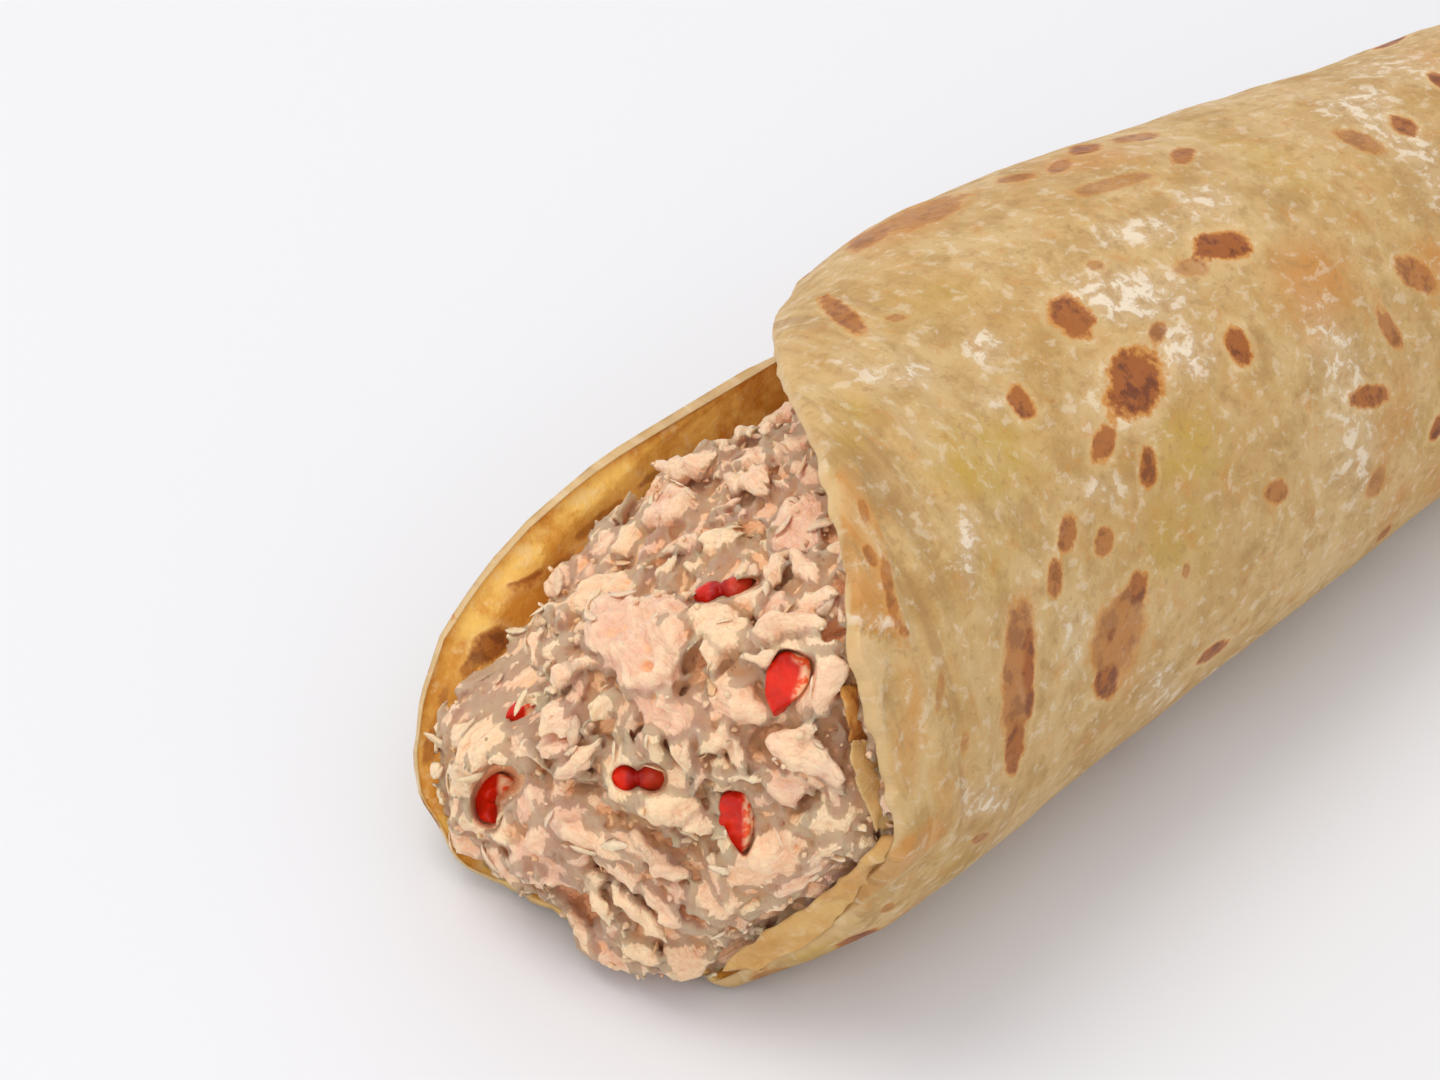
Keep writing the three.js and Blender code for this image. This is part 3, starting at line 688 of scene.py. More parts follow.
# Adds marks on the sides that the photograph doesn't show, in millimetres on the rolled sheet.
def coverHidden(cover, heat, points, unseen, wanted, count, length, width, darkness, dice):
    spots = np.where(unseen & wanted)[0]
    for _ in range(count):
        middle = points[spots[dice.integers(len(spots))]]
        near = np.where(wanted & (((points - middle) ** 2).sum(1) < (2.2 * length[1]) ** 2))[0]
        long, wide = dice.uniform(*length), dice.uniform(*width)
        turn = dice.uniform(0, math.pi)
        darker = dice.uniform(*darkness)
        away = points[near] - middle
        outward = middle - np.array([middle[0], *[float(v) for v in rollCentre(middle[0])]])
        outward = outward / (np.linalg.norm(outward) + 1e-6)
        sideways = np.cross(outward, [1, 0, 0])
        along, aside = turnedBy(turn, away[:, 0], away @ sideways)
        share = 1 - np.hypot(along / long, aside / wide)
        better = share > cover[near]
        index = near[better]
        cover[index] = share[better]
        heat[index] = darker


def paintChapati():
    points = bread["points"]
    outside = bread["inside"] < 0.5
    tree = BVHTree.FromPolygons(points.tolist(), bread["faces"].tolist())
    across, down = toPhoto(points)
    middleY, middleZ = rollCentre(points[:, 0])
    outward = points - np.stack([points[:, 0], middleY, middleZ], 1)
    facing = (outward * (viewPoint - points)).sum(1) > 0
    near = points[:, 0] < 60
    visible = facing & (across < hiddenMarks["rightOf"]) & outside
    painted = near & (outward[:, 1] < 5)
    dice = np.random.default_rng(hiddenMarks["seed"])

    def outerFace(face):
        return face < bread["outerCount"]

    def innerFace(face):
        return face >= bread["outerCount"]

    toast, heat = coverByPixels(points, outside, griddleMarks["outer"], tree, outerFace)
    coverHidden(toast, heat, points, ~visible, outside, hiddenMarks["count"],
                hiddenMarks["length"], hiddenMarks["width"], (0.35, 1.0), dice)
    innerToast, innerHeat = coverByPixels(points, ~outside, griddleMarks["inner"], tree, innerFace)
    toast = np.where(outside, toast, innerToast)
    heat = np.where(outside, heat, innerHeat)
    setValues(chapatiPiece, toast=toast, darkness=heat)
    torn = [(layer["tint"], layer["share"] * painted
             * smoothStep(-1, 2, insideOutline(layer["outline"], across, down))) for layer in tornLayers]
    for name, size in (("flaky", (5, 9)), ("golden", (4, 9)), ("butter", (5, 10))):
        cover, strength = coverByPixels(points, outside, griddleMarks[name], tree, outerFace)
        coverHidden(cover, strength, points, ~visible, outside, hiddenMarks["patches"],
                    size, (3, 6), (0.4, 1.0), dice)
        share = np.clip(cover * 1.6, 0, 1) * strength
        for tint, within in torn:
            if tint == name:
                share = np.maximum(share, within)
        setValues(chapatiPiece, **{name: share})
    fromRim = np.clip(bread["fromRim"], 0, 30)
    for tint, within in torn:
        if tint == "rim":
            fromRim = fromRim * (1 - within)
    sheetPlace = [np.radians(bread["angle"]) * 0.022, bread["x"] / 1000, bread["inside"] * 0.5]
    setValues(chapatiPiece, fromRim=fromRim, inside=bread["inside"], sheetPlace=np.stack(sheetPlace, 1),
              folds=1 - smoothStep(9, 22, bread["fromRim"]))


paintChapati()

breadLook = {
    "pale": (190, 150, 90),
    "cream": (206, 172, 117),
    "dusk": (162, 122, 70),
    "dry": (206, 178, 142),
    "butter": (186, 150, 64),
    "flaky": (236, 220, 194),
    "golden": (194, 128, 50),
    "rim": (220, 186, 136),
    "insideLight": (246, 202, 104),
    "insideDark": (216, 150, 52),
    "insidePale": (240, 210, 148),
    "halo": (234, 204, 148),
    "toastEdge": (198, 130, 48),
    "toast": (152, 80, 18),
    "char": (104, 48, 10),
    "roughness": (0.46, 0.7),
}


# the colours of a dictionary of looks, ready for a material
def coloursOf(facts):
    return {name: colour(*value) for name, value in facts.items()
            if isinstance(value, tuple) and len(value) == 3}


def chapatiSurface():
    look = coloursOf(breadLook)
    skin = Surface("griddled chapati")
    times, plus = skin.times, skin.plus
    along = skin.value("sheetPlace", "Vector")
    broad = skin.noise(12, 2, 0.5)
    medium = skin.noise(4.2, 4, 0.62)
    small = skin.noise(1.9, 4, 0.65)
    fine = skin.noise(0.9, 4, 0.65)
    streaks = skin.noise(3.4, 3, 0.55, place=along, stretch=(0.2, 1.3, 1.0))
    layers = skin.noise(1.3, 4, 0.62, place=along, stretch=(1.0, 0.75, 1.0), twist=0.3)
    toast = skin.value("toast")
    heat = skin.value("darkness")
    flaky = skin.value("flaky")
    golden = skin.value("golden")
    butter = skin.value("butter")
    inside = skin.value("inside")
    fromRim = skin.value("fromRim")
    folds = skin.value("folds")

    mottled = plus(times(broad, 0.5), times(small, 0.5))
    base = skin.mix(skin.step(0.38, 0.62, mottled), look["pale"], look["cream"])
    base = skin.mix(times(skin.step(0.45, 0.68, medium), 0.62), base, look["dusk"])
    butterShare = times(plus(times(butter, 0.9), 0.14), skin.step(0.34, 0.6, medium, 0.5, 1.0))
    base = skin.mix(butterShare, base, look["butter"])
    goldShare = times(golden, skin.step(0.35, 0.62, streaks, 0.5, 1.0))
    base = skin.mix(times(goldShare, 0.85), base, look["golden"])
    base = skin.mix(times(skin.step(0.54, 0.7, skin.noise(2.6, 3, 0.7)), 0.42), base, look["golden"])
    streaky = plus(times(folds, 0.5), 0.1)
    base = skin.mix(times(skin.step(0.5, 0.68, streaks), streaky), base, look["cream"])
    base = skin.mix(times(skin.step(0.48, 0.34, streaks), streaky), base, look["dusk"])
    base = skin.mix(times(flaky, 0.5), base, look["dry"])
    speck = plus(layers, times(flaky, 0.09))
    white = times(skin.step(0.54, 0.65, speck), plus(times(flaky, 0.55), 0.28))
    base = skin.mix(white, base, look["flaky"])
    pits = times(skin.step(0.42, 0.36, plus(layers, times(flaky, -0.02))), 0.4)
    base = skin.mix(pits, base, look["dusk"])
    notGolden = skin.math("SUBTRACT", 1.0, golden)
    base = skin.mix(times(skin.step(0.1, 0.5, fromRim, 0.5, 0.0), notGolden), base, look["rim"])

    insideBase = skin.mix(skin.step(0.38, 0.62, medium), look["insideLight"], look["insideDark"])
    insideBase = skin.mix(skin.step(0.52, 0.66, small, 0.0, 0.55), insideBase, look["insidePale"])
    insideBase = skin.mix(skin.step(0.1, 0.5, fromRim, 0.7, 0.0), insideBase, look["insidePale"])
    insideBase = skin.mix(times(goldShare, 0.8), insideBase, look["golden"])
    base = skin.mix(inside, base, insideBase)

    ragged = times(skin.math("SUBTRACT", fine, 0.5), 0.65)
    ragged = plus(ragged, times(skin.math("SUBTRACT", small, 0.5), 0.85))
    burnt = plus(toast, ragged)
    halo = times(skin.step(-0.6, -0.15, plus(burnt, times(medium, 0.2))), times(times(heat, heat), 0.25))
    base = skin.mix(halo, base, look["halo"])
    warm = times(skin.step(-0.14, 0.03, burnt), plus(times(heat, 0.8), 0.1))
    base = skin.mix(warm, base, look["toastEdge"])
    brown = times(skin.step(0.0, 0.2, burnt), plus(times(heat, 0.85), 0.08))
    base = skin.mix(brown, base, look["toast"])
    deep = times(times(skin.step(0.47, 0.6, small), skin.step(0.08, 0.4, burnt)), times(heat, 0.85))
    base = skin.mix(deep, base, look["char"])

    height = plus(times(medium, 0.7), times(small, 0.6))
    height = plus(height, times(white, 0.3))
    height = plus(height, times(streaks, times(folds, 0.8)))
    normal = skin.bump(height, 0.5, 0.6)
    normal = skin.bump(skin.noise(0.5, 3, 0.7), 0.13, 0.6, after=normal)
    rough = skin.step(0.3, 0.7, medium, *breadLook["roughness"])
    return skin.finish(base, rough, normal, Subsurface_Weight=0.12, Subsurface_Scale=0.0016,
                       Subsurface_Radius=(1.0, 0.6, 0.3), Specular_IOR_Level=0.4)


chapatiPiece.data.materials.append(chapatiSurface())
print("wrap: chapati painted")


# The open face of the filling: a front slope and a top that leans back, as on the solid.
face = {
    "foot": 18.4, "perY": -0.14, "perZ": 0.17, "bulge": 4.0,
    "alongWall": [(16, 10), (24, 13.6), (31, 15), (40, 18.8), (48, 21.8), (58, 22.2), (70, 22.2)],
    "wallY": 22.0, "topPerY": -0.68, "topBulge": 2.0, "closesFrom": 66.0, "closing": 1.2,
    "ridgeRound": 8.0, "middle": (0.0, 22.0, 25.0), "out": (-0.62, 0.1, 0.78),
    "lumps": {"count": 230, "height": 1.9, "radius": 3.0, "across": 28, "from": 5, "to": 80, "seed": 5},
}
topAlongWall = curveThrough(face["alongWall"])


# how deep in the filling a place lies, below nothing outside
def depthInside(x, y, z):
    middleY, middleZ, reach = face["middle"]
    share = 1 - np.minimum(((y - middleY) ** 2 + (z - middleZ) ** 2) / reach ** 2, 1)
    front = x - (face["foot"] + face["perY"] * y + face["perZ"] * z) + face["bulge"] * share
    top = (topAlongWall(x) + face["closing"] * np.maximum(0, x - face["closesFrom"])
           + face["topPerY"] * (y - face["wallY"]) + face["topBulge"] * share)
    below = (top - z) / math.hypot(1, face["topPerY"])
    blend = np.maximum(face["ridgeRound"] - np.abs(front - below), 0) / face["ridgeRound"]
    return np.minimum(front, below) - blend * blend * face["ridgeRound"] / 4


def faceAxes():
    out = np.array(face["out"]) / np.linalg.norm(face["out"])
    across = np.array([0, 1, 0]) - out * out[1]
    across /= np.linalg.norm(across)
    return across, np.cross(across, out), out


faceAcross, faceBack, faceOut = faceAxes()


def makeLumps():
    facts = face["lumps"]
    stream = randomFrom(facts["seed"])
    return np.array([
        [(next(stream) * 2 - 1) * facts["across"],
         facts["from"] + next(stream) * (facts["to"] - facts["from"]),
         facts["height"] * (next(stream) * 2 - 1.1),
         facts["radius"] * (0.45 + 0.75 * next(stream))]
        for _ in range(facts["count"])
    ])


lumpTable = makeLumps()


def lumpHeight(across, back):
    shares = (across - lumpTable[:, 0]) ** 2 + (back - lumpTable[:, 1]) ** 2
    return float((lumpTable[:, 2] * np.exp(-shares / lumpTable[:, 3] ** 2)).sum())


def facePoint(across, back):
    base = faceAcross * across + faceBack * back
    low, high = -90.0, 90.0
    for _ in range(30):
        middle = (low + high) / 2
        if depthInside(*(base + faceOut * middle)) > 0:
            low = middle
        else:
            high = middle
    return base + faceOut * (low + lumpHeight(across, back))


# where a pepper piece lies on the face: its place, and its long, side and outward directions
def faceFrameAt(y, z, turn, sink):
    x = 20.0
    for _ in range(60):
        x -= 0.5 * float(depthInside(x, y, z))
    spot = np.array([x, y, z])
    across, back = spot @ faceAcross, spot @ faceBack
    at = facePoint(across, back)
    normal = np.cross(facePoint(across + 1, back) - facePoint(across - 1, back),
                      facePoint(across, back + 1) - facePoint(across, back - 1))
    normal /= np.linalg.norm(normal)
    if normal @ faceOut < 0:
        normal = -normal
    up = np.array([0, 0, 1]) - normal * normal[2]
    up /= np.linalg.norm(up)
    long = up * math.cos(turn) + np.cross(normal, up) * math.sin(turn)
    return at - sink * normal, long, np.cross(normal, long), normal


def softMin(first, second, reach):
    share = np.maximum(reach - np.abs(first - second), 0) / reach
    return np.minimum(first, second) - share * share * reach / 4


# the radius of the room inside the bread, pressed a little into it, as a table over angle and x
def makeRoomTable(pressed):
    angle = np.arange(rollShape["innerEdge"], rollShape["innerEdge"] + 361, 2.0)[:, None]
    x = np.arange(0, 196, 1.0)[None, :]
    inside = sheetRadius(angle, np.maximum(x, frontRimAt(angle)))
    stepAngle = rollShape["innerEdge"] + 360
    near = smoothStep(stepAngle - 30, stepAngle, angle)
    first = sheetRadius(np.full_like(angle, rollShape["innerEdge"]), x)
    atRim = 1 - smoothStep(0, chapati["thinReach"], x - frontRimAt(angle))
    pressed = pressed + rollShape["thick"] * (1 - chapati["rimThin"]) * atRim * (1 - near) * (pressed > 0)
    return inside + (first - inside) * near - rollShape["thick"] / 2 + pressed


def readRoom(table, angle, x):
    row = np.clip((angle - rollShape["innerEdge"]) / 2, 0, table.shape[0] - 1.001)
    column = np.clip(x, 0, table.shape[1] - 1.001)
    i, j = row.astype(int), column.astype(int)
    a, b = row - i, column - j
    return ((table[i, j] * (1 - b) + table[i, j + 1] * b) * (1 - a)
            + (table[i + 1, j] * (1 - b) + table[i + 1, j + 1] * b) * a)


# A block of small cubes that holds a distance, below nothing inside the form.
class Block:
    def __init__(self, low, high, step):
        self.low = np.array(low, float)
        self.step = step
        self.shape = tuple(int(n) for n in np.ceil((np.array(high) - self.low) / step) + 1)
        self.axes = [self.low[i] + step * np.arange(self.shape[i]) for i in range(3)]
        self.distance = None

    def places(self, index):
        i, j, k = np.unravel_index(index, self.shape)
        return np.stack([self.axes[0][i], self.axes[1][j], self.axes[2][k]], 1)

    # the part of the block round a place, as slices and as the three coordinates
    def around(self, middle, reach):
        first = np.floor((middle - reach - self.low) / self.step).astype(int)
        last = np.ceil((middle + reach - self.low) / self.step).astype(int) + 1
        first = np.clip(first, 0, self.shape)
        last = np.clip(last, 0, self.shape)
        part = tuple(slice(a, b) for a, b in zip(first, last))
        x, y, z = (axis[s] - at for axis, s, at in zip(self.axes, part, middle))
        return part, (x[:, None, None], y[None, :, None], z[None, None, :])

    def closeBorder(self):
        for axis in range(3):
            for end in (0, -1):
                side = [slice(None)] * 3
                side[axis] = end
                self.distance[tuple(side)] = np.maximum(self.distance[tuple(side)], self.step)

    def mesh(self, adaptivity=0.0):
        self.closeBorder()
        grid = openvdb.FloatGrid(4 * self.step)
        near = np.clip(self.distance, -4 * self.step, 4 * self.step)
        grid.copyFromArray(np.ascontiguousarray(near, np.float32))
        points, triangles, quads = grid.convertToPolygons(isovalue=0.0, adaptivity=adaptivity)
        return self.low + points * self.step, triangles[:, ::-1], quads[:, ::-1]

    # the value of a table of the block's shape at free places
    def read(self, values, places):
        spot = (places - self.low) / self.step
        spot = np.clip(spot, 0, np.array(self.shape) - 1.001)
        cell = spot.astype(int)
        part = spot - cell
        total = np.zeros(len(places))
        for corner in range(8):
            step = np.array([corner & 1, corner >> 1 & 1, corner >> 2 & 1])
            weight = np.prod(np.where(step > 0, part, 1 - part), axis=1)
            total += weight * values[tuple((cell + step).T)]
        return total


# the mean of each cube's surroundings
def blurred(values, reach, passes=1):
    for _ in range(passes):
        for axis in range(3):
            pad = [(0, 0)] * 3
            pad[axis] = (reach + 1, reach)
            total = np.cumsum(np.pad(values, pad, mode="edge"), axis=axis, dtype=np.float64)
            first = [slice(None)] * 3
            last = [slice(None)] * 3
            first[axis] = slice(0, -2 * reach - 1)
            last[axis] = slice(2 * reach + 1, None)
            values = ((total[tuple(last)] - total[tuple(first)]) / (2 * reach + 1)).astype(np.float32)
    return values


# only the parts that hang together in large meshes are kept
def keepLarge(points, triangles, quads, least):
    pairs = np.concatenate([quads[:, [0, 1]], quads[:, [1, 2]], quads[:, [2, 3]],
                            triangles[:, [0, 1]], triangles[:, [1, 2]]]).astype(np.int64)
    label = np.arange(len(points))
    while True:
        lowest = np.minimum(label[pairs[:, 0]], label[pairs[:, 1]])
        before = label.copy()
        np.minimum.at(label, pairs[:, 0], lowest)
        np.minimum.at(label, pairs[:, 1], lowest)
        label = label[label]
        if (label == before).all():
            break
    counts = np.bincount(label, minlength=len(points))
    keep = counts[label] >= least
    number = np.cumsum(keep) - 1
    return points[keep], number[triangles[keep[triangles[:, 0]]]], number[quads[keep[quads[:, 0]]]]


# lengths of places along some directions
def alongAxes(x, y, z, axes):
    return [x * axis[0] + y * axis[1] + z * axis[2] for axis in axes]


peppers = {
    "pepper_leaf_upper": {"kind": "leaf", "y": -15.6, "z": 34.2, "long": 5.2, "wide": 3.7, "turn": -0.45},
    "pepper_leaf_lower": {"kind": "leaf", "y": -14.1, "z": 21.4, "long": 6.2, "wide": 3.3, "turn": 0.05},
    "pepper_pair_upper": {"kind": "pair", "y": -2.2, "z": 33.2, "long": 4.6, "wide": 2.7, "turn": 0.75,
                          "well": 0.35, "flare": 0.32},
    "pepper_pair_middle": {"kind": "pair", "y": -4.6, "z": 22.2, "long": 4.4, "wide": 2.5, "turn": 1.75,
                           "well": -0.15},
    "pepper_hook": {"kind": "hook", "y": 12.0, "z": 12.7, "long": 4.2, "wide": 1.7, "turn": 0.9,
                    "well": 0.2, "flare": 0.32},
    "pepper_sliver": {"kind": "leaf", "y": 10.7, "z": 19.9, "long": 2.6, "wide": 1.5, "turn": 0.5,
                      "well": 0.0},
}
# deep is also the painted shade in the joint of the pairs, and cream a painted highlight streak on the
# leaves' cut edge
pepperLook = {
    "thick": 1.7, "sink": 0.35, "voxel": 0.11, "round": 0.4, "bend": 0.35, "wobble": 0.16,
    "red": (222, 38, 6), "deep": (164, 14, 4), "cut": (240, 100, 54), "cream": (250, 204, 164),
    "ripe": (170, 66, 40), "roughness": 0.34,
}


def quadratic(a, b, c, steps=10):
    t = np.linspace(0, 1, steps + 1)[1:, None]
    return (1 - t) ** 2 * np.array(a) + 2 * t * (1 - t) * np.array(b) + t * t * np.array(c)


def pepperOutline(facts):
    long, wide = facts["long"] / 2, facts["wide"] / 2
    if facts["kind"] == "leaf":
        start = (-long, -0.1 * wide)
        shoulder, tip = (0.7 * long, wide), (long, -0.3 * wide)
        return np.concatenate([
            [start],
            quadratic(start, (-0.4 * long, 1.3 * wide), shoulder),
            quadratic(shoulder, (long, 0.9 * wide), tip),
            quadratic(tip, (0.1 * long, -1.2 * wide), start)[:-1],
        ])
    turn = np.linspace(-0.3 * math.pi, 0.95 * math.pi, 24)
    ring = np.stack([np.cos(turn), np.sin(turn)], 1)
    middle = long - wide
    return np.concatenate([ring * (middle + wide), (ring * (middle - wide))[::-1]])


# distance to a pepper piece in its own directions, soft at its edges
def pepperDistance(facts, u, v, w):
    if facts["kind"] == "pair":
        half = np.array([facts["long"] * 0.29, facts["wide"] / 2, 1.0])
        parts = []
        for end in (-1, 1):
            along = (u - end * facts["long"] * 0.24) / half[0]
            scaled = np.sqrt(along ** 2 + (v / half[1]) ** 2 + (w / half[2]) ** 2)
            parts.append((scaled - 1) * half.min())
        return softMin(parts[0], parts[1], 0.25)
    bend = pepperLook["bend"] * (1 - (u / (facts["long"] / 2)) ** 2) * 0.5
    edge = pepperLook["round"]
    if u.ndim == 3:
        flat = outlineDistance(pepperOutline(facts), u[:, :, 0], v[:, :, 0])[:, :, None] + edge
    else:
        flat = outlineDistance(pepperOutline(facts), u, v) + edge
    high = np.abs(w - bend) - pepperLook["thick"] / 2 + edge
    flat, high = np.broadcast_arrays(flat, high)
    return np.hypot(np.maximum(flat, 0), np.maximum(high, 0)) + np.minimum(np.maximum(flat, high), 0) - edge


for facts in peppers.values():
    facts["frame"] = faceFrameAt(facts["y"], facts["z"], facts["turn"], pepperLook["sink"])


def makePepper(name, facts, seed):
    at, long, side, normal = facts["frame"]
    across = facts["long"] if facts["kind"] == "hook" else facts["wide"]
    reach = np.array([facts["long"] / 2 + 0.6, across / 2 + 0.6, 1.8])
    block = Block(-reach, reach, pepperLook["voxel"])
    u, v, w = np.meshgrid(*block.axes, indexing="ij")
    local = np.stack([u.ravel(), v.ravel(), w.ravel()], 1)
    wobble = softNoise(local, 1.6, seed) + 0.4 * softNoise(local, 0.6, seed + 1)
    block.distance = pepperDistance(facts, u, v, w) + pepperLook["wobble"] * wobble.reshape(u.shape)
    points, triangles, quads = keepLarge(*block.mesh(), 300)
    world = at + points[:, :1] * long + points[:, 1:2] * side + points[:, 2:] * normal
    piece = makePiece(name + "_skin", world, quads, triangles)
    facts["piece"] = piece
    # on the pairs, edge is highest at the joint between the two beads, where the material paints shade; on
    # the other pieces it is highest along the outline
    if facts["kind"] == "pair":
        edge = smoothStep(0.9, 0.3, np.abs(points[:, 0]) / facts["wide"] * 2)
    else:
        fromEdge = np.abs(outlineDistance(pepperOutline(facts), points[:, 0], points[:, 1]))
        edge = smoothStep(0.95, 0.35, fromEdge)
    # how far right each point lies as seen by the camera; the material puts the cut colour and a painted
    # highlight on that side
    sideways = toPhoto(world)[0]
    setValues(piece, edge=edge, side=(sideways - sideways.mean()) / sideways.std(),
              pair=np.full(len(points), 1.0 if facts["kind"] == "pair" else 0.0))


for number, (name, facts) in enumerate(peppers.items()):
    makePepper(name, facts, 60 + 3 * number)
print("wrap: peppers cut")


filling = {
    "voxel": 0.32,
    "low": (9.0, -26.6, 1.2),
    "high": (80.0, 26.6, 47.4),
    "shell": 6.6,
    "adaptivity": 0.08,
    "pressed": 0.35,
    "bumps": [(7.0, 0.75), (3.2, 0.7), (1.5, 0.4)],
    "clumps": {"count": 170, "long": (3.5, 8.0), "wide": (2.4, 4.6), "thick": (1.4, 2.2),
               "lift": (-0.9, 0.1)},
    "hollows": {"count": 60, "long": (2.0, 4.5), "wide": (0.5, 1.2), "thick": (1.2, 2.0),
                "lift": (-0.1, 0.3)},
    "warp": [(2.8, 0.7), (1.2, 0.34)],
    "ridges": [(2.4, 0.45), (1.2, 0.28)],
    "sunk": 0.35,
    "highest": 2.2,
    "farDrop": 2.4,
    "shards": {"count": 850, "long": (2.0, 6.5), "wide": (1.0, 2.6), "thick": (0.5, 1.0),
               "lift": (-0.5, 0.1), "seed": 9},
    "lean": {"lobe": 0.25, "shard": 0.28, "pit": 0.3},
    "topDrop": 3.0,
    "topFrom": (46, 57),
    "under": 0.9,
    "above": 0.6,
    "rimMargin": [(-125, -60), (-104, -14), (-84, -1), (-78, 5.5), (-73, 7.5), (-67, 6.0), (-62, 2.5),
                  (-50, 2.0), (-36, 1.6), (-6, 1.2), (3, -1.2), (14, -0.2), (26, 1.8), (40, 2.6),
                  (88, 2.6), (104, 0.6), (125, -2), (150, -14)],
    "rimSlope": [(-92, 1.5), (-76, 0.55), (-10, 0.55), (24, 1.1), (100, 1.1), (130, 1.5)],
    "well": 0.05,
    "wellFlare": 0.12,
}

